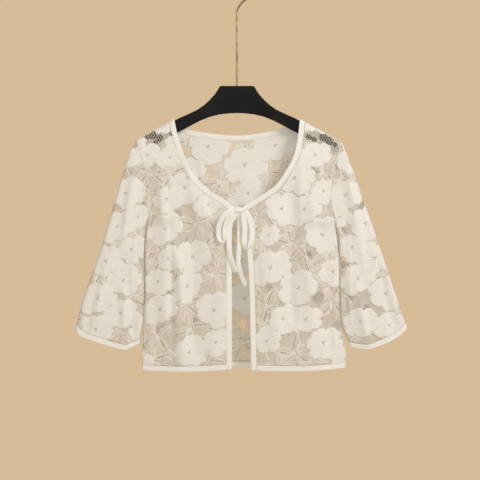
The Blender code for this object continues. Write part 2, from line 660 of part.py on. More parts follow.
def tie_pieces(trim, collection):
    """The bow: a knot, two loops and two free ends."""
    bpy.ops.mesh.primitive_uv_sphere_add(segments=KNOT_SEGMENTS, ring_count=KNOT_RINGS, radius=1.0)
    knot = bpy.context.object
    knot.name = "tie_knot"
    knot.data.name = "tie_knot"
    for vertex in knot.data.vertices:
        vertex.co = [(c + v * r) * MM for c, v, r in zip(KNOT_CENTRE, vertex.co, KNOT_RADII)]
    knot.data.shade_smooth()
    knot.data.materials.append(trim)
    for holder in list(knot.users_collection):
        holder.objects.unlink(knot)
    collection.objects.link(knot)
    routes = {
        "tie_loop_left": TIE_LOOP_LEFT,
        "tie_loop_right": TIE_LOOP_RIGHT,
        "tie_tail_left": TIE_TAIL_LEFT,
        "tie_tail_right": TIE_TAIL_RIGHT,
    }
    for name, route in routes.items():
        cord_object(name, route, trim, collection)


def hanger_outline():
    """The hanger's whole outline as (x, z), one way round."""
    lift = HANGER_SEAT * math.hypot(1.0, SHOULDER_SLOPE)
    arm_top = [(x, shoulder_point(x)[1] - lift) for x in ARM_TOP_X]
    half = NECK_CURVE + arm_top + ARM_TIP + ARM_BOTTOM
    mirrored = [(-x, z) for x, z in reversed(half[:-1])]
    return half + mirrored


def hanger_piece(material, collection):
    """The flat hanger: its outline, given its thickness and rounded edges."""
    curve = bpy.data.curves.new("hanger", "CURVE")
    curve.dimensions = "2D"
    curve.fill_mode = "BOTH"
    curve.extrude = HANGER_THICKNESS / 2 * MM
    outline = hanger_outline()
    spline = curve.splines.new("POLY")
    spline.use_cyclic_u = True
    spline.points.add(len(outline) - 1)
    for k, (x, z) in enumerate(outline):
        spline.points[k].co = (x * MM, z * MM, 0.0, 1.0)
    hanger = add_object("hanger", curve, material, collection)
    hanger.rotation_euler = (math.radians(90.0), 0.0, 0.0)
    weld = hanger.modifiers.new("weld", "WELD")
    weld.merge_threshold = HANGER_WELD * MM
    bevel = hanger.modifiers.new("edges", "BEVEL")
    bevel.width = HANGER_EDGE * MM
    bevel.segments = BEVEL_SEGMENTS
    bevel.angle_limit = math.radians(BEVEL_ANGLE)
    return hanger


def hook_piece(material, collection):
    """The hook: a straight stem that bends into a round top, open on one side."""
    middle = HOOK_INNER_RADIUS + WIRE_DIAMETER / 2
    centre_z = -HOOK_INNER_RADIUS
    angles = np.radians(np.linspace(HOOK_FOOT_ANGLE, HOOK_TIP_ANGLE, HOOK_ARC_POINTS))
    arc = [(middle * math.cos(a), 0.0, centre_z + middle * math.sin(a)) for a in angles]
    foot = (0.0, 0.0, PLATEAU_Z + SEAM_GAP)
    stem_top = (0.0, 0.0, HOOK_STEM_TOP_Z)
    bend = [(x, 0.0, HOOK_STEM_TOP_Z + rise) for x, rise in HOOK_BEND]
    straight = [tuple(p) for p in np.linspace(foot, stem_top, STEM_POINTS)]
    return round_object("hook", straight + bend + arc, WIRE_DIAMETER / 2, material, collection)


def main():
    """Builds every piece of the cardigan, its hanger and its hook."""
    for old in list(bpy.data.objects):
        bpy.data.objects.remove(old, do_unlink=True)
    collection = bpy.data.collections.new("lace_cardigan")
    bpy.context.scene.collection.children.link(collection)
    lace = make_material("lace", LACE_COLOUR, LACE_ROUGHNESS)
    trim = make_material("binding", BINDING_COLOUR, BINDING_ROUGHNESS)
    black = make_material("hanger_black", HANGER_COLOUR, HANGER_ROUGHNESS)
    wire = make_material("hook_metal", HOOK_COLOUR, HOOK_ROUGHNESS, metallic=1.0)
    back_panels(lace, trim, collection)
    fronts = {
        "left": (NECKLINE_LEFT, FRONT_EDGE_LEFT, ARMHOLE_LEFT, SIDE_LEFT),
        "right": (NECKLINE_RIGHT, FRONT_EDGE_RIGHT, ARMHOLE_RIGHT, SIDE_RIGHT),
    }
    for side, lines in fronts.items():
        front_panels(side, *lines, lace, trim, collection)
    sleeves = {
        "left": (ARMHOLE_LEFT, SLEEVE_OUTER_LEFT, SLEEVE_INNER_LEFT, CUFF_LEFT),
        "right": (ARMHOLE_RIGHT, SLEEVE_OUTER_RIGHT, SLEEVE_INNER_RIGHT, CUFF_RIGHT),
    }
    for side, lines in sleeves.items():
        sleeve_panels(side, *lines, lace, trim, collection)
    tie_pieces(trim, collection)
    hanger_piece(black, collection)
    hook_piece(wire, collection)


main()
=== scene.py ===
"""Visual model of a lace cardigan with elbow-length sleeves and a tied front, on its flat hanger.

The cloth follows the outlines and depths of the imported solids, with finer creases: each cut piece is a thin
shell of net, and its flowers, leaves and stems are embroidery with a height of its own. Tables are in
millimetres in the row frame (fronts towards -Y, +X on the right of someone who looks at them, +Z up).
"""
from __future__ import annotations

import logging
import math
from dataclasses import dataclass, field, replace
from enum import Enum
from typing import Callable, Iterable, Sequence

import bmesh
import bpy
import numpy as np
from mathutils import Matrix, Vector
from mathutils.bvhtree import BVHTree
from mathutils.geometry import delaunay_2d_cdt


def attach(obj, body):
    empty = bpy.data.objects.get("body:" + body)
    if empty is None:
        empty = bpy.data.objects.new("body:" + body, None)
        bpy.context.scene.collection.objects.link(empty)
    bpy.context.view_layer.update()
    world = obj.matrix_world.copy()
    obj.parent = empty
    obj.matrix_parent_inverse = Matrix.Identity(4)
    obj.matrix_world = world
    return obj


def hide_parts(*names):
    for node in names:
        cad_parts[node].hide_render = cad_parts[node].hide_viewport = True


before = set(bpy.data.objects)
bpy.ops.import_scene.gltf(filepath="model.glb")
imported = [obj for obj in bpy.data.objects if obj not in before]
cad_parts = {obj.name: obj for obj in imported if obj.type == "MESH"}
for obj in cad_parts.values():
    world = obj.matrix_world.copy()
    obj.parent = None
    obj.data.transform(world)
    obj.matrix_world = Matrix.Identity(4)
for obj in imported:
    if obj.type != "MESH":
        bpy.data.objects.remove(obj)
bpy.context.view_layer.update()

LOG = logging.getLogger("lace_cardigan")
MM = 0.001
Array = np.ndarray
Socket = bpy.types.NodeSocket
Pairs = Sequence[tuple[float, float]]
Triples = Sequence[tuple[float, float, float]]
Colour = tuple[float, float, float, float]

# Walls and seams
NET_WALL = 0.5
BINDING_THICKNESS = 2.4
BINDING_EDGE_THICKNESS = 0.7
BINDING_WIDTH = 10.0
SEAM_GAP = 0.3
MIDDLE_GAP = 0.2
SEAM_WIDTH = 2.4
SEAM_HEIGHT = 0.8
STITCH_SPACING = 2.9

# Embroidery: what the flowers' and leaves' small holes measure, and each cord's width and height
HEART_RADIUS = 5.0
HOLE_SIDES = 6
PINHOLE_OFFSET = 2.2
PINHOLE_RADIUS = 0.92
# The dark disc of painted shade at the bottom of each small hole: its radius and half thickness
EYELET_SHADE_RADIUS = 1.1 * PINHOLE_RADIUS
EYELET_SHADE_HEIGHT = 0.34
LEAF_EDGE_CORD = (1.3, 0.65)
MIDRIB_CORD = (2.1, 0.7)
STEM_CORD = (2.4, 0.62)
HUB_CORD = (2.4, 1.0)
HUB_RADIUS = 1.7

# Shoulder line and the depth of the hanging cloth on either side of the hanger's plane
NECK_X = 116.5
NECK_Z = -258.1
SHOULDER_SLOPE = 0.545
SHOULDER_LEFT_X = -185.4
SHOULDER_RIGHT_X = 193.5
CREST_DEPTH = 9.0
CREST_DROP = 8.0
CHEST_DROP = 75.0
FRONT_DEPTH = 17.0
BACK_DEPTH = 14.0
ARMHOLE_DEPTH = 11.5
ARMHOLE_BLEND = 30.0
SIDE_RADIUS = 3.0
SLEEVE_DEPTH = 11.0
CUFF_DEPTH = 9.5
SLEEVE_RADIUS = 9.0
SLEEVE_INNER_RADIUS = 3.0
ROLL_SHARE = 0.4
SIDE_REACH = 75.0
SLEEVE_REACH = 46.0
UNDERARM_REACH = 24.0
HEM_SAG = 3.0
FOLD_GAIN = 1.45
FOLD_FADE = 60.0
WANDER_SHARE = 0.25
WANDER_PITCH = 31.0
FAR_FROM_EDGE = 100.0
BACK_NECK_UNDERARM_Z = -460.0
ROLL_ANGLES = (0, 7, 14, 22, 31, 41, 52, 64, 77, 90)

# How the neckline's binding turns from the shoulder's direction to square to its edge
NECK_TURN_START = 1.0
NECK_TURN_LENGTH = 30.0
EDGE_LOOK_AHEAD = 40.0
BACK_CREST_SLANT = 0.92

# The longest steps between rows of cloth, over the panels and over the rolled crest
ROW_STEP = 4.5
FRONT_CREST_STEP = 1.0
BACK_CREST_STEP = 0.9


def shoulder_point(x: float) -> tuple[float, float]:
    """The point of the shoulder line at x, as (x, z)."""
    return (x, NECK_Z - SHOULDER_SLOPE * (abs(x) - NECK_X))


# Outlines as (x, z), each read from the top down
NECKLINE_LEFT = [
    shoulder_point(-NECK_X), (-108.8, -292.5), (-98.1, -324.4), (-83.2, -356.2),
    (-66.2, -377.5), (-45, -395), (-23.7, -408), (-2, -425),
]
NECKLINE_RIGHT = [
    shoulder_point(NECK_X), (112, -294.9), (104.2, -327.9), (88.8, -356.6),
    (69.9, -382.4), (44, -400.9), (22, -413.8), (7.4, -425),
]
NECKLINE_BACK = [
    shoulder_point(-NECK_X), (-91.2, -275), (-69.4, -280.5), (-32.7, -285), (0, -286.8),
    (30, -284.8), (67.9, -277.6), (90, -270.5), shoulder_point(NECK_X),
]
FRONT_EDGE_LEFT = [(-2, -425), (-7.2, -450), (-9.6, -480), (-9.6, -600), (-9.6, -722)]
FRONT_EDGE_RIGHT = [
    (7.4, -425), (13.5, -455), (19.2, -510), (22.8, -570), (25.2, -676), (26.5, -724),
]
ARMHOLE_LEFT = [
    shoulder_point(SHOULDER_LEFT_X), (-177, -327), (-169.3, -350.5), (-162.8, -377),
    (-160.4, -402), (-161.8, -428), (-167.5, -458),
]
ARMHOLE_RIGHT = [
    shoulder_point(SHOULDER_RIGHT_X), (186.5, -327), (179.5, -343), (174.6, -365),
    (173.9, -388), (176, -422), (185, -464),
]
SIDE_LEFT = [
    (-167.5, -458), (-171, -500), (-170.6, -582), (-172, -636),
    (-175.2, -662), (-176.4, -690), (-175.6, -724),
]
SIDE_RIGHT = [
    (185, -464), (188.8, -510), (190, -582), (191.6, -625),
    (194.8, -648), (199.2, -674), (202, -699), (200.6, -720),
]
SLEEVE_OUTER_LEFT = [
    shoulder_point(SHOULDER_LEFT_X), (-193.6, -308.5), (-200, -322), (-206, -340), (-216.4, -374),
    (-242, -462), (-259.8, -519), (-270, -547), (-288.4, -600), (-300, -648),
]
SLEEVE_OUTER_RIGHT = [
    shoulder_point(SHOULDER_RIGHT_X), (200.2, -315.5), (206, -331), (214.4, -351), (223, -374),
    (234.8, -410), (251.4, -456), (275, -525), (296.4, -589), (309.4, -625), (315.6, -646),
]
SLEEVE_INNER_LEFT = [
    (-167.5, -458), (-171.2, -492), (-172.2, -530), (-171.8, -572),
    (-172.4, -600), (-174.4, -636), (-179, -660), (-183, -676),
]
SLEEVE_INNER_RIGHT = [
    (185, -464), (189.8, -510), (191.2, -582), (192.8, -625), (197.4, -648), (212, -681),
]
CUFF_LEFT = [
    (-300, -648), (-288.5, -661.5), (-262.7, -671.1), (-236.8, -679.7),
    (-210, -686.4), (-199, -683), (-183, -676),
]
CUFF_RIGHT = [
    (315.6, -646), (302.5, -659), (282.3, -671.5), (262.7, -679.2), (242.2, -685.8), (212, -681),
]
HEM_BACK = [(-175.6, -724), (-120, -724.5), (0, -720.5), (120, -721.5), (200.6, -720)]

# Folds and creases as ridges: (x_top, z_top, x_bottom, z_bottom, half_width, height); below 0 a trough
FRONT_FOLDS = [
    (-140, -380, -132, -640, 13, 4.5), (-112, -500, -101, -700, 11, 3.5),
    (-70, -400, -48, -530, 15, 3), (-88, -420, -78, -690, 12, -3),
    (-30, -560, -40, -720, 14, 3), (60, -420, 70, -700, 15, 3.5),
    (98, -380, 104, -640, 12, -3), (135, -400, 140, -700, 14, 4),
    (166, -480, 172, -700, 9, -3),
]
FRONT_CREASES = [
    (-152, -350, -148, -600, 5.5, 1.5), (-126, -410, -118, -690, 5, -1.5),
    (-62, -410, -42, -505, 5, 1.5), (-50, -415, -30, -545, 4.5, -1.2),
    (-106, -520, -97, -690, 4.5, 1.3), (-158, -560, -161, -712, 6, 1.6),
    (-100, -290, -78, -430, 6, 1.2), (-22, -590, -26, -716, 5, 1),
    (46, -430, 50, -620, 6, 1.2), (82, -500, 90, -705, 5, -1.2),
    (118, -320, 120, -520, 7, 1.2), (151, -400, 154, -640, 5, -1.2),
    (178, -510, 182, -712, 5, 1.4), (110, -560, 113, -716, 5.5, 1.1),
]
BACK_FOLDS = [
    (-135, -400, -128, -700, 15, 4), (-96, -360, -84, -650, 13, -3),
    (-40, -420, -30, -710, 17, 3.5), (18, -360, 24, -640, 14, -2.5),
    (70, -400, 78, -710, 16, 4), (118, -380, 124, -600, 12, -3),
    (152, -440, 160, -700, 13, 3.5),
]
BACK_CREASES = [
    (-150, -360, -146, -590, 5.5, 1.4), (-112, -430, -104, -700, 5, 1.3),
    (-66, -330, -58, -560, 6, -1.2), (-12, -470, -6, -712, 6, 1.3),
    (44, -380, 52, -600, 5, 1.2), (98, -450, 102, -710, 5, -1.3),
    (136, -340, 140, -560, 6, 1.3), (176, -520, 182, -710, 5.5, -1.4),
]
SLEEVE_FOLDS = [
    (-188, -330, -206, -500, 9, 3), (-222, -470, -262, -640, 12, 3),
    (-212, -570, -206, -680, 7, 3), (-198, -575, -194, -680, 7, -3.5),
    (204, -340, 222, -500, 10, 3), (224, -560, 240, -670, 9, 3.5),
    (262, -520, 290, -650, 12, -3),
]
SLEEVE_CREASES = [
    (-196, -390, -226, -560, 5, 1.4), (-238, -480, -270, -650, 5, 1.2),
    (-248, -540, -282, -655, 6, -1.2), (-190, -480, -198, -600, 4, 1.4),
    (212, -380, 236, -540, 5, 1.3), (250, -500, 282, -640, 6, 1.2),
    (232, -560, 252, -672, 5, -1.3), (206, -480, 212, -620, 4, 1.3),
]

# Ties: routes as (x, y, z), from the knot outwards or back to it
KNOT_CENTRE = (3, -23.8, -427)
TIE_LOOP_LEFT = [
    (-6.4, -24.2, -427.4), (-15, -26.2, -430.6), (-25, -26, -440), (-32.2, -24, -455),
    (-33.6, -22.8, -470), (-31, -22.4, -482), (-26.4, -22.4, -486.4), (-22.8, -22.6, -480),
    (-22, -23.6, -462), (-17, -25.8, -446), (-9.6, -27.2, -437.4), (-4.9, -26.6, -432.9),
]
TIE_LOOP_RIGHT = [
    (13.4, -24.2, -427.4), (19, -26, -434), (25.4, -25.4, -449), (27.8, -24, -466),
    (27.2, -23.2, -482), (23.2, -22.8, -495), (17.6, -22.8, -500.4), (13.4, -23, -494),
    (13.2, -23.6, -480), (14.2, -25, -462), (12.8, -26.8, -445), (11, -26.6, -433),
]
TIE_TAIL_LEFT = [
    (0.4, -23, -434.1), (-5, -22, -441), (-12.2, -21.5, -452), (-14.8, -21.6, -468),
    (-15.2, -21.6, -486), (-13.8, -21.6, -502), (-10.4, -21.4, -518), (-5.6, -20.6, -532),
    (-1.8, -19.6, -541.6),
]
TIE_TAIL_RIGHT = [
    (5.6, -23.3, -433.7), (4.9, -22.2, -448), (4.4, -21.2, -466), (4.3, -20.6, -486),
    (3.2, -20.2, -506), (2.6, -20.2, -524), (5, -20.4, -539), (9.6, -20.6, -553),
    (15.4, -20.8, -567.4),
]


class Side(Enum):
    """A side of the cardigan, as it shows from straight in front."""

    LEFT = "left"
    RIGHT = "right"

    @property
    def out(self) -> float:
        """The sign of x on this side."""
        return -1.0 if self is Side.LEFT else 1.0


UNDERARM_Z = {Side.LEFT: ARMHOLE_LEFT[-1][1], Side.RIGHT: ARMHOLE_RIGHT[-1][1]}


class Layer(Enum):
    """The layer of cloth in front of the hanger, or behind it; its value is the sign of y."""

    FRONT = -1.0
    BACK = 1.0

    @property
    def other(self) -> Layer:
        """The layer on the other side of the hanger."""
        return Layer.BACK if self is Layer.FRONT else Layer.FRONT

    @property
    def outward(self) -> Array:
        """The way that cloth of this layer looks."""
        return np.array([0.0, self.value, 0.0])


class Finish(Enum):
    """The material slots of a motif mesh, in order."""

    PETAL = 0
    LEAF = 1
    STEM = 2
    # A dark disc of painted shade in each small hole
    PAINTED_EYELET_SHADE = 3


# Lines and depths


def roll(t: Array) -> Array:
    """How far a rolled edge has come out, from 0 at the edge to 1 where t reaches 1."""
    t = np.clip(t, 0.0, 1.0)
    return np.sqrt(np.maximum(1.0 - (1.0 - t) ** 2, 0.0))


def ease(t: Array) -> Array:
    """A smooth step from 0 to 1."""
    t = np.clip(t, 0.0, 1.0)
    return t * t * (3.0 - 2.0 * t)


def unit(vectors: Array) -> Array:
    """The vectors at a length of 1."""
    return vectors / np.maximum(np.linalg.norm(vectors, axis=-1, keepdims=True), 1e-9)


def looped(points: Array) -> Array:
    """A ring's points, with the first one again at the end."""
    return np.vstack([points, points[:1]])


def spin(turn: float) -> Array:
    """The matrix that turns rows of (x, z) by an angle."""
    c, s = math.cos(turn), math.sin(turn)
    return np.array([[c, s], [-s, c]])


def side_rise(distance: Array, radius: float, reach: float) -> Array:
    """How far cloth has come out by a side: a tight roll at first, then a slow swell."""
    return ROLL_SHARE * roll(distance / radius) + (1 - ROLL_SHARE) * ease(distance / reach)


def roll_steps(width: float) -> list[float]:
    """Distances from a rolled edge at which the sheet is sampled."""
    return [width * (1.0 - math.cos(math.radians(a))) for a in ROLL_ANGLES]


def refined(rows: Sequence[Sequence[float]], most: float) -> Array:
    """Rows of numbers with more rows put between them.

    Args:
        rows: The rows; their second number is a length.
        most: The longest step of that length between two rows.

    Returns:
        The rows, one array row each, with the old ones among them.
    """
    table = np.array(rows, float)
    out = [table[:1]]
    for a, b in zip(table, table[1:]):
        parts = max(1, int(math.ceil(abs(b[1] - a[1]) / most)))
        share = np.linspace(0.0, 1.0, parts + 1)[1:, None]
        out.append(a + (b - a) * share)
    return np.vstack(out)


@dataclass
class Line:
    """A line through points in any number of dimensions, with the length along it at each."""

    points: Array
    runs: Array = field(init=False)

    def __post_init__(self) -> None:
        """Measures the line."""
        steps = np.linalg.norm(np.diff(self.points, axis=0), axis=1)
        self.runs = np.concatenate([[0.0], np.cumsum(steps)])

    @classmethod
    def through(cls, points: Iterable[Sequence[float]], step: float = 1.5) -> Line:
        """A smooth line.

        Args:
            points: The points that it passes.
            step: About how far apart its own points are.

        Returns:
            The line.
        """
        p = np.array(list(points), float)
        p = np.vstack([2 * p[0] - p[1], p, 2 * p[-1] - p[-2]])
        out = []
        for a, b, c, d in zip(p, p[1:], p[2:], p[3:]):
            n = max(2, int(np.linalg.norm(c - b) / step))
            t = np.linspace(0.0, 1.0, n, endpoint=False)[:, None]
            square = (2 * a - 5 * b + 4 * c - d) * t**2
            out.append(0.5 * (2 * b + (c - a) * t + square + (3 * b - a - 3 * c + d) * t**3))
        return cls(np.vstack([*out, p[-2]]))

    @property
    def length(self) -> float:
        """The length of the whole line."""
        return float(self.runs[-1])

    def at(self, run: float | Array) -> Array:
        """The point, or points, at a length along the line."""
        return np.stack([np.interp(run, self.runs, c) for c in self.points.T], axis=-1)

    def direction(self, run: float, reach: float = 3.0) -> Array:
        """The unit direction at a length along the line."""
        d = self.at(min(run + reach, self.length)) - self.at(max(run - reach, 0.0))
        return d / np.linalg.norm(d)

    def joined(self, other: Line) -> Line:
        """This line, with another one that starts where it ends."""
        return Line(np.vstack([self.points, other.points[1:]]))


def fold_height(x: Array, z: Array, folds: Iterable[Sequence[float]]) -> Array:
    """The sum of the ridges at each place, soft across and faded out at both ends."""
    total = np.zeros_like(x)
    for x_top, z_top, x_bottom, z_bottom, half_width, height in folds:
        along = np.clip((z_top - z) / (z_top - z_bottom), 0.0, 1.0)
        wander = WANDER_SHARE * half_width * np.sin(z / WANDER_PITCH + x_top)
        across = np.exp(-(((x - x_top - (x_bottom - x_top) * along - wander) / half_width) ** 2))
        ends = ease((z_top - z) / FOLD_FADE + 0.5) * ease((z - z_bottom) / FOLD_FADE + 0.5)
        total = total + FOLD_GAIN * height * across * ends
    return total


def below_shoulder(x: Array, z: Array) -> Array:
    """The distance of each place below the shoulder line."""
    line_z = NECK_Z - SHOULDER_SLOPE * (np.abs(x) - NECK_X)
    return np.maximum(line_z - z, 0.0) / math.hypot(1.0, SHOULDER_SLOPE)


@dataclass(frozen=True)
class Drape:
    """How far a body panel stands from the hanger's plane."""

    full_depth: float
    folds: Sequence[Sequence[float]]

    def depth(self, flat: Array, edge_distance: Array, underarm: Array | float) -> Array:
        """The depth at each place.

        Args:
            flat: Places as (x, z).
            edge_distance: How far each is from the panel's side or armhole.
            underarm: The height of the underarm on the side that is nearer.

        Returns:
            The depth in millimetres.
        """
        x, z = flat[..., 0], flat[..., 1]
        drop = below_shoulder(x, z)
        inner = CREST_DEPTH + (self.full_depth - CREST_DEPTH) * ease(drop / CHEST_DROP)
        inner = inner + fold_height(x, z, self.folds)
        on_armhole = ease((z - underarm) / UNDERARM_REACH)
        at_edge = ARMHOLE_DEPTH * on_armhole
        rise = (1 - on_armhole) * side_rise(edge_distance, SIDE_RADIUS, SIDE_REACH)
        rise = rise + on_armhole * ease(edge_distance / ARMHOLE_BLEND)
        return (at_edge + (inner - at_edge) * rise) * roll(drop / CREST_DROP)


def with_depth(flat: Array, depth: Array, layer: Layer) -> Array:
    """Places as (x, z) with their depth, as (x, y, z) on that layer."""
    y = layer.value * (MIDDLE_GAP + depth)
    return np.stack([flat[..., 0], y, flat[..., 1]], axis=-1)


def cross_vector(line: Line, run: float, toward: Array, shoulder: Array, width: float) -> Array:
    """From a neckline edge across its binding: square to the edge, but along the shoulder at the very top.

    Args:
        line: The edge.
        run: The length along it.
        toward: Roughly where the panel is.
        shoulder: The shoulder's unit direction.
        width: The length of the result, measured square to the edge.

    Returns:
        The vector as (x, z).
    """
    d = line.direction(run)
    square = np.array([-d[1], d[0]])
    square = -square if square @ toward < 0 else square
    slant = shoulder / abs(shoulder @ square)
    turn = ease((run - CREST_DROP - NECK_TURN_START) / NECK_TURN_LENGTH)
    return width * (slant * (1 - turn) + square * turn)


# Meshes


class MeshParts:
    """Vertices and faces gathered from many shapes, with a UV place and a tone for each vertex."""

    def __init__(self) -> None:
        """Starts empty."""
        self.points: list[Array] = []
        self.places: list[Array] = []
        self.tones: list[Array] = []
        self.faces: list[tuple[int, ...]] = []
        self.slots: list[int] = []
        self.count = 0

    def add(self, points: Array, faces: Iterable[Sequence[int]], places: Array, slot: int = 0,
            tone: float | Array = 0.5) -> None:
        """Adds one shape.

        Args:
            points: Its vertices in millimetres.
            faces: Its faces, as places in points.
            places: A UV place in millimetres for each vertex.
            slot: The material slot of its faces.
            tone: The shade of each vertex, from 0 to 1.
        """
        start = self.count
        before = len(self.faces)
        self.faces.extend(tuple(int(v) + start for v in f) for f in faces)
        self.slots.extend([slot] * (len(self.faces) - before))
        self.points.append(points)
        self.places.append(places)
        self.tones.append(np.broadcast_to(np.asarray(tone, float), (len(points),)))
        self.count += len(points)

    def to_object(self, name: str, materials: Sequence[bpy.types.Material]) -> bpy.types.Object:
        """Makes the object.

        Args:
            name: Its name.
            materials: The materials of its slots.

        Returns:
            The object at the origin, with its place in its mesh.
        """
        points = np.vstack(self.points) * MM
        mesh = bpy.data.meshes.new(name)
        mesh.from_pydata(points.tolist(), [], self.faces)
        loops = np.empty(len(mesh.loops), dtype=np.int32)
        mesh.loops.foreach_get("vertex_index", loops)
        layer = mesh.uv_layers.new(name="cloth")
        layer.data.foreach_set("uv", (np.vstack(self.places) * MM)[loops].ravel())
        tone = mesh.attributes.new("tone", "FLOAT", "POINT")
        tone.data.foreach_set("value", np.concatenate(self.tones))
        mesh.polygons.foreach_set("material_index", np.array(self.slots, dtype=np.int32))
        for material in materials:
            mesh.materials.append(material)
        mesh.shade_smooth()
        made = bpy.data.objects.new(name, mesh)
        bpy.context.scene.collection.objects.link(made)
        return made


def grid_normals(grid: Array, closed: bool, outward: Array) -> tuple[Array, float]:
    """Unit normals of a grid of points.

    Args:
        grid: Rows by columns by (x, y, z).
        closed: Whether its columns close into a ring.
        outward: The way that the first column's middle looks.

    Returns:
        The normals, and the sign that turns the rows-by-columns winding outwards.
    """
    wide = np.concatenate([grid[:, -1:], grid, grid[:, :1]], axis=1) if closed else grid
    down = np.gradient(wide, axis=0)
    over = np.gradient(wide, axis=1)
    normal = np.cross(down, over)
    normal = normal[:, 1:-1] if closed else normal
    normal = unit(normal)
    rows, columns = normal.shape[:2]
    probe = normal[rows // 2, columns // 4 if closed else columns // 2]
    sign = 1.0 if probe @ outward > 0 else -1.0
    return normal * sign, sign


def grid_quads(rows: int, columns: int, closed: bool) -> Array:
    """The four corners of each cell of a grid of points, whose columns may close into a ring."""
    index = np.arange(rows * columns).reshape(rows, columns)
    right = np.roll(index, -1, axis=1) if closed else index[:, 1:]
    left = index if closed else index[:, :-1]
    return np.stack([left[:-1], left[1:], right[1:], right[:-1]], axis=-1)


def tube_faces(rings: int, around: int, caps: bool = True, flip: bool = False) -> list[tuple[int, ...]]:
    """The faces of a tube.

    Args:
        rings: How many rings it has.
        around: How many points each ring has.
        caps: Whether its ends are closed.
        flip: Whether the faces run the other way round.

    Returns:
        The faces, as places among the rings' points.
    """
    faces = []
    for i in range(rings - 1):
        for j in range(around):
            a, b = i * around + j, i * around + (j + 1) % around
            faces.append((a, b, b + around, a + around) if flip else (a, a + around, b + around, b))
    if caps:
        first, last = tuple(range(around)), tuple(range((rings - 1) * around, rings * around))
        faces += [first[::-1], last] if flip else [first, last[::-1]]
    return faces


def walls(faces: Array, shift: int) -> Array:
    """Walls from the open edges of some faces down to their copies.

    Args:
        faces: The faces of one side, all with the same number of corners.
        shift: How much further on the copies' vertices are.

    Returns:
        The walls.
    """
    first, last = faces.ravel(), np.roll(faces, -1, axis=1).ravel()
    size = int(faces.max()) + 1
    free = ~np.isin(first * size + last, last * size + first)
    p, q = first[free], last[free]
    return np.stack([q, p, p + shift, q + shift], axis=-1)


def shell(parts: MeshParts, grid: Array, thickness: Array | float, closed: bool, outward: Array,
          places: Array, tone: float | Array = 0.5, keep: Array | None = None) -> None:
    """Adds a closed shell of cloth on both sides of a grid.

    Args:
        parts: What the shell is added to.
        grid: The middle of the cloth, rows by columns by (x, y, z), in millimetres.
        thickness: The wall, one number or one for each grid point.
        closed: Whether the columns close into a ring.
        outward: The way that the cloth's face looks, at the quarter of a ring or the middle of a panel.
        places: A UV place for each grid point.
        tone: The shade, one number or one for each grid point.
        keep: Which of the grid's cells are there.
    """
    normal, sign = grid_normals(grid, closed, outward)
    rows, columns = grid.shape[:2]
    half = np.broadcast_to(np.asarray(thickness, float) / 2, (rows, columns))[..., None]
    both = np.concatenate([(grid + normal * half).reshape(-1, 3), (grid - normal * half).reshape(-1, 3)])
    n = rows * columns
    quads = grid_quads(rows, columns, closed)[..., ::1 if sign > 0 else -1]
    quads = quads.reshape(-1, 4) if keep is None else quads[keep]
    flat = places.reshape(-1, 2)
    shade = np.broadcast_to(np.asarray(tone, float), (rows, columns)).reshape(-1)
    faces = np.vstack([quads, quads[:, ::-1] + n, walls(quads, n)])
    used, packed = np.unique(faces, return_inverse=True)
    uv, shades = np.vstack([flat, flat])[used], np.concatenate([shade, shade])[used]
    parts.add(both[used], packed.reshape(-1, 4), uv, 0, shades)


def row_runs(grid: Array) -> Array:
    """The length along its row from the first column to each point of a grid."""
    steps = np.linalg.norm(np.diff(grid, axis=1), axis=2)
    return np.concatenate([np.zeros((len(grid), 1)), np.cumsum(steps, axis=1)], axis=1)


# Embroidery


@dataclass
class Patch:
    """A flat embroidered shape, triangulated, with how far it stands out at each point."""

    points: Array
    triangles: Array
    heights: Array
    finish: Finish
    eyelets: Array


def triangulated(outline: Array, holes: Sequence[Array], inner: Array) -> tuple[Array, Array]:
    """Triangles over an outline with holes.

    Args:
        outline: The outline's points, anticlockwise.
        holes: The outlines of its holes.
        inner: More points to use inside.

    Returns:
        The points and the triangles.
    """
    rings = [outline, *holes]
    points, edges, start = [], [], 0
    for ring in rings:
        points.extend(Vector(p) for p in ring)
        edges.extend((start + i, start + (i + 1) % len(ring)) for i in range(len(ring)))
        start += len(ring)
    points.extend(Vector(p) for p in inner)
    verts, _, tris, *_ = delaunay_2d_cdt(points, edges, [], 0, 1e-4)
    flat = np.array([tuple(v) for v in verts])
    triangles = np.array([tuple(t) for t in tris if len(t) == 3], dtype=int)
    middle = flat[triangles].mean(axis=1)
    keep = inside(middle, outline)
    for hole in holes:
        keep &= ~inside(middle, hole)
    triangles = triangles[keep]
    a, b, c = (flat[triangles[:, k]] for k in range(3))
    area = (b[:, 0] - a[:, 0]) * (c[:, 1] - a[:, 1]) - (b[:, 1] - a[:, 1]) * (c[:, 0] - a[:, 0])
    triangles[area < 0] = triangles[area < 0][:, ::-1]
    return flat, triangles


def inside(points: Array, polygon: Array) -> Array:
    """Whether each point is inside a polygon."""
    x, y = points[:, 0][:, None], points[:, 1][:, None]
    x0, y0 = polygon[:, 0][None], polygon[:, 1][None]
    x1, y1 = np.roll(polygon[:, 0], -1)[None], np.roll(polygon[:, 1], -1)[None]
    across = (y0 > y) != (y1 > y)
    rise = np.where(np.abs(y1 - y0) < 1e-12, 1e-12, y1 - y0)
    hit = across & (x < (x1 - x0) * (y - y0) / rise + x0)
    return hit.sum(axis=1) % 2 == 1


def nearest_on(points: Array, line: Array) -> tuple[Array, Array, Array]:
    """The nearest place of a line of points to each point.

    Args:
        points: The points, as (x, z).
        line: The line's own points.

    Returns:
        The nearest places, the line's unit direction at each, and the distances.
    """
    a, b = line[:-1], line[1:]
    step = b - a
    size = np.maximum((step**2).sum(axis=1), 1e-12)
    t = np.clip(((points[:, None] - a[None]) * step[None]).sum(axis=2) / size[None], 0.0, 1.0)
    place = a[None] + step[None] * t[..., None]
    gap = np.linalg.norm(points[:, None] - place, axis=2)
    best = gap.argmin(axis=1)
    rows = np.arange(len(points))
    return place[rows, best], step[best] / np.sqrt(size[best])[:, None], gap[rows, best]


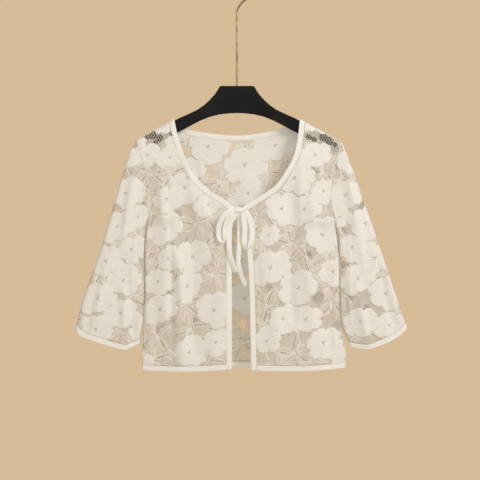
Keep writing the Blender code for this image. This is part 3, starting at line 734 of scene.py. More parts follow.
def ring(x: float, y: float, radius: float, count: int) -> Array:
    """The corners of a small round hole."""
    a = np.linspace(0.0, 2 * math.pi, count, endpoint=False)
    return np.stack([x + radius * np.cos(a), y + radius * np.sin(a)], axis=1)


def scatter(outline: Array, step: float, margin: float, keep_off: Sequence[Array]) -> Array:
    """Points on a triangular lattice inside an outline, clear of it and of its holes."""
    low, high = outline.min(axis=0), outline.max(axis=0)
    found = []
    for k, y in enumerate(np.arange(low[1], high[1], step * 0.866)):
        x = np.arange(low[0] + (k % 2) * step / 2, high[0], step)
        found.append(np.stack([x, np.full_like(x, y)], axis=1))
    points = np.vstack(found)
    points = points[inside(points, outline)]
    points = points[nearest_on(points, looped(outline))[2] > margin]
    for hole in keep_off:
        points = points[np.linalg.norm(points - hole.mean(axis=0), axis=1) > step * 0.7]
    return points


@dataclass(frozen=True)
class FlowerShape:
    """An open flower with broad rounded petals, drawn at its radius and scaled when it is laid.

    Petals differ in width by WIDTH_SPREAD and in reach by REACH_SPREAD. Each peaks at CROWN_REACH from
    its edge, with a valley to the next one, a dip at the heart and a fine ridge round the edge.
    """

    petals: int
    notch: float
    dent: float
    seed: int
    step: float = 2.9
    radius: float = 30.0
    rim: float = 0.34
    crown: float = 0.4
    eyelet: float = 1.0
    breadth: float = 1.09

    WIDTH_SPREAD = 0.24
    REACH = 1.04
    REACH_SPREAD = 0.13
    PETAL_STEPS = 12
    ROUNDNESS = 2.4
    DENT_WIDTH = 0.2
    EYELET_ANGLES = (0.5, 2.7, 4.6)
    EYELET_DISTANCE = 2.1
    EDGE_MARGIN = 1.1
    CROWN_REACH = 9.0
    VALLEY_DEPTH, VALLEY_WIDTH, VALLEY_START, VALLEY_EASE, VALLEY_REACH = 0.3, 2.2, 5.0, 8.0, 4.0
    HEART_DIP, HEART_WIDTH = 0.25, 4.0
    RIDGE, RIDGE_WIDTH = 0.18, 0.8

    def outline(self) -> tuple[Array, Array]:
        """The flower's edge.

        Returns:
            The edge's points and the angles between the petals.
        """
        rng = np.random.default_rng(self.seed)
        widths = 1.0 + self.WIDTH_SPREAD * (rng.random(self.petals) - 0.5) * 2
        splits = np.concatenate([[0.0], np.cumsum(widths / widths.sum() * 2 * math.pi)])
        reach = self.REACH + self.REACH_SPREAD * (rng.random(self.petals) - 0.5) * 2
        dents = self.dent * rng.random(self.petals)
        t = np.linspace(-1.0, 1.0, self.PETAL_STEPS + 1)[:-1]
        bulge = np.sqrt(np.maximum(1.0 - np.abs(t) ** self.ROUNDNESS, 0.0))
        base = 1.0 - self.notch
        points = []
        for k in range(self.petals):
            angle = (splits[k] + splits[k + 1]) / 2 + t * (splits[k + 1] - splits[k]) / 2
            r = reach[k] * (base + self.notch * bulge - dents[k] * np.exp(-((t / self.DENT_WIDTH) ** 2)))
            r[0] = base * (reach[k] + reach[k - 1]) / 2
            points.append(np.stack([r * np.cos(angle), r * np.sin(angle)], axis=1))
        return np.vstack(points) * self.radius * np.array([self.breadth, 1.0 / self.breadth]), splits[:-1]

    def patch(self) -> Patch:
        """The flower, with three small eyelets at its heart and a crown on each petal."""
        edge, splits = self.outline()
        reach = self.EYELET_DISTANCE
        centres = [(reach * math.cos(a), reach * math.sin(a)) for a in self.EYELET_ANGLES]
        holes = [ring(*centre, self.eyelet, HOLE_SIDES) for centre in centres]
        flat, triangles = triangulated(edge, holes, scatter(edge, self.step, self.EDGE_MARGIN, holes))
        angle = np.arctan2(flat[:, 1], flat[:, 0]) % (2 * math.pi)
        away = np.linalg.norm(flat, axis=1)
        turned = (angle[:, None] - splits[None] + math.pi) % (2 * math.pi) - math.pi
        valley = np.exp(-((np.min(np.abs(turned), axis=1) * away / self.VALLEY_WIDTH) ** 2))
        valley = valley * ease((away - self.VALLEY_START) / self.VALLEY_EASE)
        to_edge = nearest_on(flat, looped(edge))[2]
        heights = self.rim + self.crown * roll(to_edge / self.CROWN_REACH)
        heights -= self.VALLEY_DEPTH * valley * roll(to_edge / self.VALLEY_REACH)
        heights -= self.HEART_DIP * np.exp(-((away / self.HEART_WIDTH) ** 2))
        heights += self.RIDGE * np.exp(-((to_edge / self.RIDGE_WIDTH) ** 2))
        eyelets = np.array([hole.mean(axis=0) for hole in holes]) / self.radius
        return Patch(flat / self.radius, triangles, heights, Finish.PETAL, eyelets)


@dataclass(frozen=True)
class LeafShape:
    """A slender leaf along +x, drawn at its own length."""

    length: float
    width: float
    bend: float
    pinholes: int
    rim: float = 0.3

    FULLNESS, ROUNDNESS = 0.85, 0.8
    BEND_SPAN = 0.8
    MIDRIB_SHARE = 0.93
    FIRST_PINHOLE, PINHOLE_SPAN = 0.24, 0.56
    STEP, EDGE_MARGIN = 4.2, 1.4
    RISE, RISE_REACH = 0.25, 3.0

    def spine(self, t: Array) -> Array:
        """Places along the leaf's bent middle line, from its foot at 0 to its tip at 1."""
        bent = self.bend * self.length * np.sin(math.pi * t * self.BEND_SPAN)
        return np.stack([self.length * t, bent], axis=1)

    def edge(self, count: int = 12) -> Array:
        """The leaf's outline, anticlockwise from its foot."""
        t = np.linspace(0.0, 1.0, count)
        half = self.width / 2 * np.sin(math.pi * t**self.FULLNESS) ** self.ROUNDNESS
        x, y = self.spine(t).T
        low = np.stack([x, y - half], axis=1)
        high = np.stack([x, y + half], axis=1)[::-1]
        return np.vstack([low[:-1], high[:-1]])

    def midrib(self, count: int = 9) -> Array:
        """The line of the leaf's midrib."""
        return self.spine(np.linspace(0.0, self.MIDRIB_SHARE, count))

    def patch(self) -> Patch:
        """The leaf's filling, with a row of pinholes beside its midrib."""
        edge = self.edge()
        rib = Line(self.midrib(40))
        holes = []
        for k in range(self.pinholes):
            run = rib.length * (self.FIRST_PINHOLE + self.PINHOLE_SPAN * k / max(1, self.pinholes - 1))
            d = rib.direction(run)
            p = rib.at(run) + np.array([-d[1], d[0]]) * PINHOLE_OFFSET
            holes.append(ring(p[0], p[1], PINHOLE_RADIUS, HOLE_SIDES))
        flat, triangles = triangulated(edge, holes, scatter(edge, self.STEP, self.EDGE_MARGIN, holes))
        to_edge = nearest_on(flat, looped(edge))[2]
        heights = self.rim + self.RISE * roll(to_edge / self.RISE_REACH)
        eyelets = np.array([hole.mean(axis=0) for hole in holes]).reshape(-1, 2)
        return Patch(flat, triangles, heights, Finish.LEAF, eyelets)


@dataclass(frozen=True)
class Motif:
    """Where a motif's middle lies on a panel."""

    x: float
    z: float

    @property
    def centre(self) -> Array:
        """The middle as (x, z)."""
        return np.array([self.x, self.z])


@dataclass(frozen=True)
class Bloom(Motif):
    """Where a flower lies, how large it is and which kind."""

    radius: float
    kind: int = 0
    turn: float = 0.0
    layer: Layer = Layer.FRONT


@dataclass(frozen=True)
class Spray(Motif):
    """Where a star of leaves lies, and how many it has."""

    leaves: int
    turn: float
    layer: Layer = Layer.FRONT


def rolled_arc(radius: float, depth: float) -> tuple[Array, Array, float]:
    """The quarter of an ellipse that cloth follows round an edge.

    Args:
        radius: How far in from the edge it ends.
        depth: How far it has come out there.

    Returns:
        Lengths along it, how far in from the edge each is, and how much longer it is than its radius.
    """
    angle = np.linspace(0.0, math.pi / 2, 60)
    x, y = radius * (1 - np.cos(angle)), depth * np.sin(angle)
    arc = np.concatenate([[0.0], np.cumsum(np.hypot(np.diff(x), np.diff(y)))])
    return arc, x, arc[-1] - radius


class Ground:
    """The surface that motifs are laid on: a panel's mid-surface, read from straight in front of it.

    A ray starts FAR from the hanger's plane. Where it misses, the surface nearest to a place at NEAR is used.
    """

    FAR = 80.0
    NEAR = 6.0

    def __init__(self, grid: Array, closed: bool) -> None:
        """Keeps a tree of the surface's faces."""
        faces = grid_quads(*grid.shape[:2], closed).reshape(-1, 4)
        self.tree = BVHTree.FromPolygons(grid.reshape(-1, 3).tolist(), faces.tolist(), all_triangles=False)
        self.polygons: dict[Layer, Array] = {}

    def settle(self, flat: Array, home: Layer) -> tuple[Array, list[Layer]]:
        """Turns places on the flat cut into (x, z) on the hanging cloth, with the layer of each."""
        return flat, [home] * len(flat)

    def lift(self, flat: Array, home: Layer) -> tuple[Array, Array]:
        """Finds places of the flat cut on the hanging cloth.

        Args:
            flat: The places as (x, z).
            home: The layer that the motif's middle is on.

        Returns:
            Points on the surface and its outward normals.
        """
        where, layers = self.settle(flat, home)
        points, normals = np.empty((len(flat), 3)), np.empty((len(flat), 3))
        for k, ((x, z), layer) in enumerate(zip(where, layers)):
            start = Vector((x, layer.value * self.FAR, z))
            hit, normal, _, _ = self.tree.ray_cast(start, Vector((0.0, -layer.value, 0.0)), self.FAR)
            if hit is None:
                hit, normal, _, _ = self.tree.find_nearest(Vector((x, layer.value * self.NEAR, z)))
            points[k] = hit
            normals[k] = normal if normal.y * layer.value > 0 else -normal
        return points, normals

    def clip(self, flat: Array, home: Layer) -> tuple[Array, Array]:
        """Keeps a shape on the cut: places outside it move to its edge.

        Args:
            flat: The places as (x, z).
            home: The layer of the motif's middle.

        Returns:
            The places, and whether each was inside.
        """
        edge = self.polygons[home]
        within = inside(flat, edge)
        if within.all():
            return flat, within
        moved = flat.copy()
        moved[~within] = nearest_on(flat[~within], looped(edge))[0]
        return moved, within


class BodyGround(Ground):
    """A front or back panel, whose rolled sides take up more cloth than they show."""

    def __init__(self, grid: Array, layer: Layer, sides: Sequence[tuple[Side, int]], depth: float,
                 underarm: Callable[[Side], float]) -> None:
        """Finds the flat cut of the panel.

        Args:
            grid: The panel's points.
            layer: Its layer.
            sides: The sides that roll, each with its column.
            depth: The depth of the roll.
            underarm: The height of the underarm on a side.
        """
        super().__init__(grid, closed=False)
        self.arc, self.across, self.extra = rolled_arc(SIDE_RADIUS, depth)
        self.rolled = []
        flat = grid[..., [0, 2]].copy()
        for side, column in sides:
            edge = flat[:, column].copy()
            limit = underarm(side)
            weight = 1.0 - ease((edge[:, 1] - limit) / (2 * SIDE_RADIUS))
            self.rolled.append((side, edge[::-1], limit))
            flat[:, column, 0] += side.out * self.extra * weight
        border = [flat[0], flat[1:, -1], flat[-1, -2::-1], flat[-2:0:-1, 0]]
        self.polygons[layer] = np.vstack(border)

    def settle(self, flat: Array, home: Layer) -> tuple[Array, list[Layer]]:
        """Rolls the cloth at the sides round towards the seam."""
        out = flat.copy()
        for side, edge, limit in self.rolled:
            weight = 1.0 - ease((flat[:, 1] - limit) / (2 * SIDE_RADIUS))
            edge_x = np.interp(flat[:, 1], edge[:, 1], edge[:, 0])
            d = (edge_x + side.out * self.extra * weight - flat[:, 0]) * side.out
            near = d < self.arc[-1]
            hidden = np.interp(np.maximum(d, 0.0), self.arc, self.across)
            h = weight * hidden + (1 - weight) * d
            out[:, 0] = np.where(near & (weight > 0.0), edge_x - side.out * np.maximum(h, 0.02), out[:, 0])
        return out, [home] * len(flat)


class SleeveGround(Ground):
    """A sleeve, whose motifs run on round its outer fold from one layer to the other."""

    def __init__(self, grid: Array, front: Array, side: Side) -> None:
        """Finds the flat cut as unfolded about the outer fold.

        Args:
            grid: The rings of the tube.
            front: The (x, z) of its front layer, from the outer fold to the underarm.
            side: Its side.
        """
        super().__init__(grid, closed=True)
        self.arc, self.across, self.extra = rolled_arc(SLEEVE_RADIUS, SLEEVE_DEPTH)
        fold = front[:, 0]
        ends = (fold[0] + (fold[0] - fold[3]) * 4, fold[-1] + (fold[-1] - fold[-4]) * 4)
        self.fold = np.vstack([ends[0], fold, ends[1]])
        self.out = side.out
        top, cuff, inner = front[0], front[-1], front[:, -1]
        rear_top, rear_inner, rear_cuff = (self.mirrored(line) for line in (top, inner, cuff))
        unfolded = [top[::-1], rear_top, rear_inner[1:], rear_cuff[::-1][1:], cuff, inner[::-1][1:]]
        for layer in Layer:
            self.polygons[layer] = np.vstack(unfolded)

    def from_fold(self, flat: Array) -> tuple[Array, Array, Array]:
        """The nearest places of the outer fold, the way inwards there, and the distance inwards."""
        foot, along, _ = nearest_on(flat, self.fold)
        inward = np.stack([along[:, 1], -along[:, 0]], axis=1)
        turned = inward[:, 0] * -self.out < 0
        inward[turned] = -inward[turned]
        return foot, inward, ((flat - foot) * inward).sum(axis=1)

    def mirrored(self, flat: Array) -> Array:
        """Places of one layer as they lie when it is unfolded about the outer fold."""
        _, inward, s = self.from_fold(flat)
        return flat - inward * 2 * (s + self.extra)[:, None]

    def settle(self, flat: Array, home: Layer) -> tuple[Array, list[Layer]]:
        """Wraps the cloth round the outer fold."""
        foot, inward, s = self.from_fold(flat)
        d = s + self.extra
        size = np.abs(d)
        h = np.where(size < self.arc[-1], np.interp(size, self.arc, self.across), size - self.extra)
        where = foot + inward * np.maximum(h, 0.02)[:, None]
        where = np.where((d > self.arc[-1])[:, None], flat, where)
        return where, [home if v >= 0 else home.other for v in d]


class Embroidery:
    """The flowers, leaves and stems of one panel, gathered into one mesh.

    REVERSE is how far a patch stands out behind the net, as a share of its height. PLACE_SHIFT moves the
    pattern on from motif to motif. A triangle whose doubled area is under LEAST_AREA is left out.
    """

    REVERSE = 0.8
    PLACE_SHIFT = 0.37
    LEAST_AREA = 0.02
    LEAF_JITTER = 0.3
    LEAF_FOOT = 2.0
    LEAF_OVERLAP = 9.0
    LEAF_SCALES = (0.55, 1.12)
    LEAF_TONE, LEAF_TONE_SPREAD = 0.42, 0.2
    STEM_BOW = 0.4
    STEM_COVER = 0.85
    STEM_LEAST = 0.2
    ROOM_LEAST, ROOM_MOST, ROOM_EDGE = 6.0, 30.0, 0.9
    FLOWERS = (
        FlowerShape(5, 0.25, 0.10, 11), FlowerShape(6, 0.21, 0.05, 12), FlowerShape(5, 0.23, 0.12, 13),
        FlowerShape(5, 0.28, 0.06, 14), FlowerShape(6, 0.24, 0.08, 15),
    )
    LEAVES = (
        LeafShape(31.0, 14.5, 0.07, 5), LeafShape(37.0, 16.5, -0.08, 6), LeafShape(43.0, 17.5, 0.10, 7),
        LeafShape(27.0, 12.5, -0.05, 0), LeafShape(34.0, 15.0, 0.05, 0),
    )
    kits: dict[str, list[Patch]] = {}

    def __init__(self, ground: Ground, seed: int) -> None:
        """Makes ready to embroider one panel.

        Args:
            ground: The panel's surface.
            seed: The seed of its small differences.
        """
        if not self.kits:
            self.kits["flowers"] = [f.patch() for f in self.FLOWERS]
            self.kits["leaves"] = [f.patch() for f in self.LEAVES]
        self.ground = ground
        self.parts = MeshParts()
        self.rng = np.random.default_rng(seed)

    def lay_patch(self, patch: Patch, centre: Array, scale: float, turn: float, home: Layer, tone: float,
                  lift: float = 0.0) -> None:
        """Lays one filled shape on the cloth, with both of its faces.

        Args:
            patch: The shape.
            centre: Where its origin goes, as (x, z) on the flat cut.
            scale: Its size.
            turn: Its turn in radians.
            home: The layer of its middle.
            tone: Its shade.
            lift: How much more it stands out than its own heights.
        """
        flat = patch.points @ spin(turn) * scale + centre
        moved, within = self.ground.clip(flat, home)
        a, b, d = (moved[patch.triangles[:, k]] for k in range(3))
        area = np.abs((b[:, 0] - a[:, 0]) * (d[:, 1] - a[:, 1]) - (b[:, 1] - a[:, 1]) * (d[:, 0] - a[:, 0]))
        keep = within[patch.triangles].any(axis=1) & (area > self.LEAST_AREA)
        triangles = patch.triangles[keep]
        if len(triangles) == 0:
            return
        used, packed = np.unique(triangles, return_inverse=True)
        triangles = packed.reshape(-1, 3)
        points, normals = self.ground.lift(moved[used], home)
        height = (patch.heights[used] + lift)[:, None]
        n = len(used)
        both = np.vstack([points + normals * height, points - normals * height * self.REVERSE])
        spins = np.cross(points[triangles[:, 1]] - points[triangles[:, 0]],
                         points[triangles[:, 2]] - points[triangles[:, 0]])
        if (spins * normals[triangles[:, 0]]).sum() < 0:
            triangles = triangles[:, ::-1]
        faces = [*triangles, *(triangles[:, ::-1] + n), *walls(triangles, n)]
        local = patch.points[used] * scale
        places = np.vstack([local, local]) + centre * self.PLACE_SHIFT
        self.parts.add(both, faces, places, patch.finish.value, tone)
        # Each small hole gets a dark disc of painted shade at its bottom.
        for spot in patch.eyelets @ spin(turn) * scale + centre:
            self.eyelet(spot, home)

    def eyelet(self, spot: Array, home: Layer) -> None:
        """Lays a thin dark disc of painted shade at the bottom of one eyelet, seen from both faces."""
        sides = HOLE_SIDES
        edge = ring(spot[0], spot[1], EYELET_SHADE_RADIUS, sides)
        if not inside(edge, self.ground.polygons[home]).all():
            return
        points, normals = self.ground.lift(edge, home)
        both = np.vstack([points + normals * EYELET_SHADE_HEIGHT, points - normals * EYELET_SHADE_HEIGHT])
        if np.cross(points[1] - points[0], points[2] - points[1]) @ normals[0] < 0:
            both = np.vstack([both[sides:], both[:sides]])
        faces = [tuple(range(sides)), tuple(sides + j for j in reversed(range(sides)))]
        faces += [(j, sides + j, sides + (j + 1) % sides, (j + 1) % sides) for j in range(sides)]
        self.parts.add(both, faces, np.vstack([edge, edge]), Finish.PAINTED_EYELET_SHADE.value, 0.5)

    def lay_cord(self, path: Array, width: float, height: float, home: Layer, tone: float = 0.85) -> None:
        """Lays a raised cord along a path on the flat cut.

        Args:
            path: The path's points as (x, z).
            width: The cord's width.
            height: How far it stands out on either side.
            home: The layer of its middle.
            tone: Its shade.
        """
        within = inside(path, self.ground.polygons[home])
        runs = np.split(np.arange(len(path)), np.flatnonzero(np.diff(within.astype(int))) + 1)
        for run in runs:
            if not within[run[0]] or len(run) < 3:
                continue
            points, normals = self.ground.lift(path[run], home)
            self.tube(points, normals, width, height, tone)

    def tube(self, points: Array, normals: Array, width: float, height: float, tone: float) -> None:
        """Adds a flattened tube along points on the surface."""
        over = unit(np.cross(unit(np.gradient(points, axis=0)), normals))
        order = np.arange(len(points))
        taper = np.minimum(1.0, np.minimum(order, order[::-1]) * 0.5 + 0.45)
        shape = [(1.0, 0.0), (0.0, 1.0), (-1.0, 0.0), (0.0, -1.0)]
        rings = [
            points + over * (width / 2 * a * taper)[:, None] + normals * (height * b * taper)[:, None]
            for a, b in shape
        ]
        n, k = len(points), len(shape)
        runs = np.repeat(Line(points).runs, k)
        places = np.stack([runs, np.tile(np.arange(k) * 0.8, n)], axis=1)
        self.parts.add(np.stack(rings, axis=1).reshape(-1, 3), tube_faces(n, k, flip=True), places,
                       Finish.STEM.value, tone)

    def flower(self, bloom: Bloom) -> None:
        """Lays one flower."""
        patch = self.kits["flowers"][bloom.kind % len(self.FLOWERS)]
        tone = 0.5 + 0.35 * (self.rng.random() - 0.5)
        lift = 0.12 * self.rng.random()
        self.lay_patch(patch, bloom.centre, bloom.radius, bloom.turn, bloom.layer, tone, lift)

    def spray(self, spray: Spray, blooms: Sequence[Bloom]) -> None:
        """Lays a star of leaves with two stems that curve away to the flowers.

        Args:
            spray: Where it lies.
            blooms: The flowers round it, which cover its tips.
        """
        spread = 2 * math.pi / spray.leaves
        for k in range(spray.leaves):
            angle = spray.turn + spread * (k + self.LEAF_JITTER * (self.rng.random() - 0.5))
            kind = int(self.rng.integers(len(self.LEAVES)))
            shape = self.LEAVES[kind]
            foot = spray.centre + self.LEAF_FOOT * np.array([math.cos(angle), math.sin(angle)])
            room = self.room(spray.centre, angle, blooms)
            scale = float(np.clip((room + self.LEAF_OVERLAP) / shape.length, *self.LEAF_SCALES))
            turned = spin(angle) * scale
            patch = self.kits["leaves"][kind]
            tone = self.LEAF_TONE + self.LEAF_TONE_SPREAD * self.rng.random()
            self.lay_patch(patch, foot, scale, angle, spray.layer, tone)
            self.lay_cord(looped(shape.edge(10)) @ turned + foot, *LEAF_EDGE_CORD, spray.layer)
            self.lay_cord(shape.midrib() @ turned + foot, *MIDRIB_CORD, spray.layer)
        near = sorted(blooms, key=lambda b: float(np.linalg.norm(b.centre - spray.centre)))[:2]
        for bloom in near:
            self.stem(spray.centre, bloom)
        self.lay_cord(spray.centre + ring(0.0, 0.0, HUB_RADIUS, 8), *HUB_CORD, spray.layer)

    def stem(self, start: Array, bloom: Bloom) -> None:
        """Lays a stem that bows to one side on its way to a flower's edge."""
        step = bloom.centre - start
        covered = self.STEM_COVER * bloom.radius / float(np.linalg.norm(step))
        reach = max(self.STEM_LEAST, 1.0 - covered)
        side = 1.0 if self.rng.random() > 0.5 else -1.0
        bow = np.array([-step[1], step[0]]) * self.STEM_BOW * reach * side
        t = np.linspace(0.0, reach, 10)[:, None]
        path = start + step * t + bow * np.sin(math.pi * t / reach)
        self.lay_cord(path, *STEM_CORD, bloom.layer)

    def room(self, centre: Array, angle: float, blooms: Sequence[Bloom]) -> float:
        """How far one can go from a place before a flower's edge is met."""
        ahead = np.array([math.cos(angle), math.sin(angle)])
        far = self.ROOM_MOST
        for bloom in blooms:
            to = bloom.centre - centre
            along = float(to @ ahead)
            off = float(np.linalg.norm(to - ahead * along))
            edge = bloom.radius * self.ROOM_EDGE
            if along > 0 and off < edge:
                far = min(far, along - math.sqrt(edge**2 - off**2))
        return max(far, self.ROOM_LEAST)


def lattice(rng: np.random.Generator, polygon: Array, step: float, jitter: float) -> Array:
    """Places on a jittered triangular lattice over a panel.

    Args:
        rng: Where the jitter comes from.
        polygon: The panel's flat cut.
        step: How far apart the places are.
        jitter: The greatest difference between two places' shifts.

    Returns:
        The places inside the cut, and those that are a little past its edge.
    """
    low, high = polygon.min(axis=0), polygon.max(axis=0)
    top, bottom, side, past_edge = -8.0, -10.0, 12.0, 14.0
    found = []
    for k, z in enumerate(np.arange(high[1] + top, low[1] + bottom, -step * 0.88)):
        for x in np.arange(low[0] + (k % 2) * step / 2, high[0] + side, step):
            found.append((x + jitter * (rng.random() - 0.5), z + jitter * (rng.random() - 0.5)))
    points = np.array(found)
    near = nearest_on(points, looped(polygon))[2] < past_edge
    return points[inside(points, polygon) | near]


def apart(here: Array, motifs: Iterable[Motif], room: Callable[[Motif], float]) -> bool:
    """Whether a place is further from each motif's middle than the room that the motif needs."""
    return all(np.linalg.norm(m.centre - here) > room(m) for m in motifs)


@dataclass
class Layout:
    """The motifs and the open windows of the net on one panel.

    A window is a round place, as (x, z, radius), where the net has its wider mesh. What is added by rule
    keeps the spaces named here.
    """

    blooms: list[Bloom] = field(default_factory=list)
    sprays: list[Spray] = field(default_factory=list)
    windows: list[tuple[float, float, float]] = field(default_factory=list)
    spacing: float = 62.0
    seed: int = 1

    BLOOM_JITTER = 14.0
    BLOOM_RADII = (27.0, 35.0)
    BLOOM_SPACE = 0.84
    HUB_SPACE = 7.0
    WINDOW_COVER = 0.6
    SPRAY_STEP = 13.0
    SPRAY_JITTER = 5.0
    SPRAY_SPACE = 33.0
    LEAF_SPACE = 20.0
    WINDOW_STEP = 10.0
    WINDOW_JITTER = 4.0
    WINDOW_SPACE = 30.0
    WINDOW_EDGE = 1.5
    WINDOW_RADII = (7.0, 12.0)
    WINDOWS_LEFT_OUT = 0.4

    def on(self, layer: Layer) -> Layout:
        """This layout with its motifs on a layer."""
        blooms, sprays = ([replace(m, layer=layer) for m in some] for some in (self.blooms, self.sprays))
        return replace(self, blooms=blooms, sprays=sprays)

    def clear(self, here: Array, room: Callable[[float], float]) -> bool:
        """Whether a place is further from each listed window than the room for one of its radius."""
        return all(math.hypot(here[0] - w[0], here[1] - w[1]) > room(w[2]) for w in self.windows)

    def filled(self, polygon: Array, layer: Layer, others: Sequence[Bloom] = ()) -> Layout:
        """This layout with flowers, sprays and windows added wherever there is room.

        Args:
            polygon: The flat cut.
            layer: The layer of the new motifs.
            others: Flowers of the other layer that come round a fold, as they lie on this one.

        Returns:
            A new layout.
        """
        rng = np.random.default_rng(self.seed)
        blooms, sprays, windows = list(self.blooms), list(self.sprays), list(self.windows)
        low, high = self.BLOOM_RADII
        for here in lattice(rng, polygon, self.spacing, self.BLOOM_JITTER):
            radius = low + (high - low) * rng.random()
            if (
                apart(here, [*blooms, *others], lambda b: self.BLOOM_SPACE * (b.radius + radius))
                and apart(here, sprays, lambda s: radius + self.HUB_SPACE)
                and self.clear(here, lambda w: radius + w * self.WINDOW_COVER)
            ):
                turn = math.pi * int(rng.integers(2)) + 0.9 * (rng.random() - 0.5)
                blooms.append(Bloom(*here, radius, int(rng.integers(len(Embroidery.FLOWERS))), turn, layer))
        for here in lattice(rng, polygon, self.SPRAY_STEP, self.SPRAY_JITTER):
            if (
                apart(here, [*blooms, *others], lambda b: b.radius)
                and apart(here, sprays, lambda s: self.SPRAY_SPACE)
                and self.clear(here, lambda w: w + self.LEAF_SPACE)
            ):
                sprays.append(Spray(*here, int(rng.integers(4, 6)), 6.28 * rng.random(), layer))
        low, high = self.WINDOW_RADII
        for x, z in lattice(rng, polygon, self.WINDOW_STEP, self.WINDOW_JITTER):
            off = [np.linalg.norm(b.centre - (x, z)) - b.radius for b in blooms]
            alone = all(math.hypot(x - w[0], z - w[1]) > self.WINDOW_SPACE for w in windows)
            if off and min(off) > self.WINDOW_EDGE and alone and rng.random() > self.WINDOWS_LEFT_OUT:
                windows.append((x, z, low + (high - low) * rng.random()))
        return replace(self, blooms=blooms, sprays=sprays, windows=windows)

    def openness(self, flat: Array) -> Array:
        """How far inside an open window of the net each place is, above 0.5 inside it."""
        best = np.zeros(flat.shape[:-1])
        for x, z, radius in self.windows:
            gap = np.hypot(flat[..., 0] - x, flat[..., 1] - z)
            best = np.maximum(best, np.clip(0.5 + (radius - gap) / 12.0, 0.0, 1.0))
        return best


# Materials


class Graph:
    """A material's node tree, with short ways to add and join its nodes."""

    def __init__(self, name: str, roughness: float, sheen: float = 0.0, metallic: float = 0.0,
                 specular: float = 0.5) -> None:
        """Starts a Principled material.

        Args:
            name: The material's name.
            roughness: Its middle roughness.
            sheen: The weight of its cloth sheen.
            metallic: 1 for metal.
            specular: The level of its gloss.
        """
        self.material = bpy.data.materials.new(name)
        self.material.use_nodes = True
        self.tree = self.material.node_tree
        self.shader = self.tree.nodes["Principled BSDF"]
        self.shader.inputs["Roughness"].default_value = roughness
        self.shader.inputs["Metallic"].default_value = metallic
        self.shader.inputs["Sheen Weight"].default_value = sheen
        self.shader.inputs["Sheen Roughness"].default_value = 0.45
        self.shader.inputs["Specular IOR Level"].default_value = specular

    def node(self, kind: str, **values: object) -> bpy.types.Node:
        """Adds a node, sets its properties, and sets or joins the inputs named with an underscore first."""
        made = self.tree.nodes.new(kind)
        for key, value in values.items():
            if key.startswith("_"):
                self.feed(made.inputs[key[1:].replace("_", " ")], value)
            else:
                setattr(made, key, value)
        return made

    def feed(self, socket: Socket, value: object) -> None:
        """Sets a socket, or joins another one to it."""
        if isinstance(value, bpy.types.NodeSocket):
            self.tree.links.new(value, socket)
        else:
            socket.default_value = value

    def math(self, operation: str, *values: object, clamp: bool = False) -> Socket:
        """A Math node's result."""
        made = self.node("ShaderNodeMath", operation=operation, use_clamp=clamp)
        for socket, value in zip(made.inputs, values):
            self.feed(socket, value)
        return made.outputs[0]

    def diamonds(self, place: Socket, pitch: float) -> Socket:
        """The distance from the nearest thread of a diamond mesh, as a share of its pitch up to 0.5."""
        u, v, _ = self.split(place)
        gaps = []
        for slope in (0.62, -0.62):
            run = self.math("MULTIPLY_ADD", v, slope, u)
            gaps.append(self.math("PINGPONG", self.math("DIVIDE", run, pitch), 0.5))
        return self.math("SMOOTH_MIN", gaps[0], gaps[1], 0.1)

    def place(self) -> Socket:
        """The cloth's own UV place, in metres."""
        return self.node("ShaderNodeUVMap", uv_map="cloth").outputs["UV"]

    def solid_place(self) -> Socket:
        """The Object coordinates."""
        return self.node("ShaderNodeTexCoord").outputs["Object"]

    def tone(self) -> Socket:
        """The shade that the mesh carries."""
        return self.node("ShaderNodeAttribute", attribute_name="tone").outputs["Fac"]

    def toned(self, value: Socket, share: float, tone_share: float) -> Socket:
        """A share of a value with a share of the mesh's shade added, kept from 0 to 1."""
        shade = self.math("MULTIPLY", self.tone(), tone_share)
        return self.math("MULTIPLY_ADD", value, share, shade, clamp=True)

    def bands(self, place: Socket, **values: object) -> Socket:
        """Diagonal bands, from 0 to 1."""
        made = self.node("ShaderNodeTexWave", wave_type="BANDS", bands_direction="DIAGONAL", **values)
        self.feed(made.inputs["Vector"], place)
        return made.outputs["Fac"]

    def noise(self, place: Socket, scale: float, detail: float = 3.0, rough: float = 0.55) -> Socket:
        """A noise value with its features about 1/scale metres across."""
        made = self.node("ShaderNodeTexNoise", _Vector=place, _Scale=scale, _Detail=detail, _Roughness=rough)
        return made.outputs["Fac"]

    def ramp(self, fac: Socket, low: float, high: float, to_low: float = 0.0, to_high: float = 1.0) -> Socket:
        """A value mapped from one range to another, and kept in it."""
        made = self.node("ShaderNodeMapRange", clamp=True)
        for name, value in zip(("Value", "From Min", "From Max", "To Min", "To Max"),
                               (fac, low, high, to_low, to_high)):
            self.feed(made.inputs[name], value)
        return made.outputs[0]

    def blend(self, fac: object, a: object, b: object) -> Socket:
        """A colour between two."""
        made = self.node("ShaderNodeMix", data_type="RGBA")
        self.feed(made.inputs[0], fac)
        self.feed(made.inputs[6], a)
        self.feed(made.inputs[7], b)
        return made.outputs[2]

    def split(self, vector: Socket) -> tuple[Socket, Socket, Socket]:
        """The parts of a vector."""
        made = self.node("ShaderNodeSeparateXYZ", _Vector=vector)
        return made.outputs[0], made.outputs[1], made.outputs[2]

    def bump(self, height: Socket, distance: float, strength: float = 1.0) -> None:
        """Gives the shader a bump from a height of 0 to 1."""
        made = self.node("ShaderNodeBump", _Height=height, _Distance=distance, _Strength=strength)
        self.tree.links.new(made.outputs["Normal"], self.shader.inputs["Normal"])

    def colour(self, value: object) -> None:
        """Sets or joins the base colour."""
        self.feed(self.shader.inputs["Base Color"], value)

    def roughness(self, value: Socket) -> None:
        """Joins the roughness."""
        self.feed(self.shader.inputs["Roughness"], value)

    def alpha(self, value: Socket) -> None:
        """Joins the alpha."""
        self.feed(self.shader.inputs["Alpha"], value)


def tint(red: float, green: float, blue: float) -> Colour:
    """A colour with full alpha."""
    return (red, green, blue, 1.0)


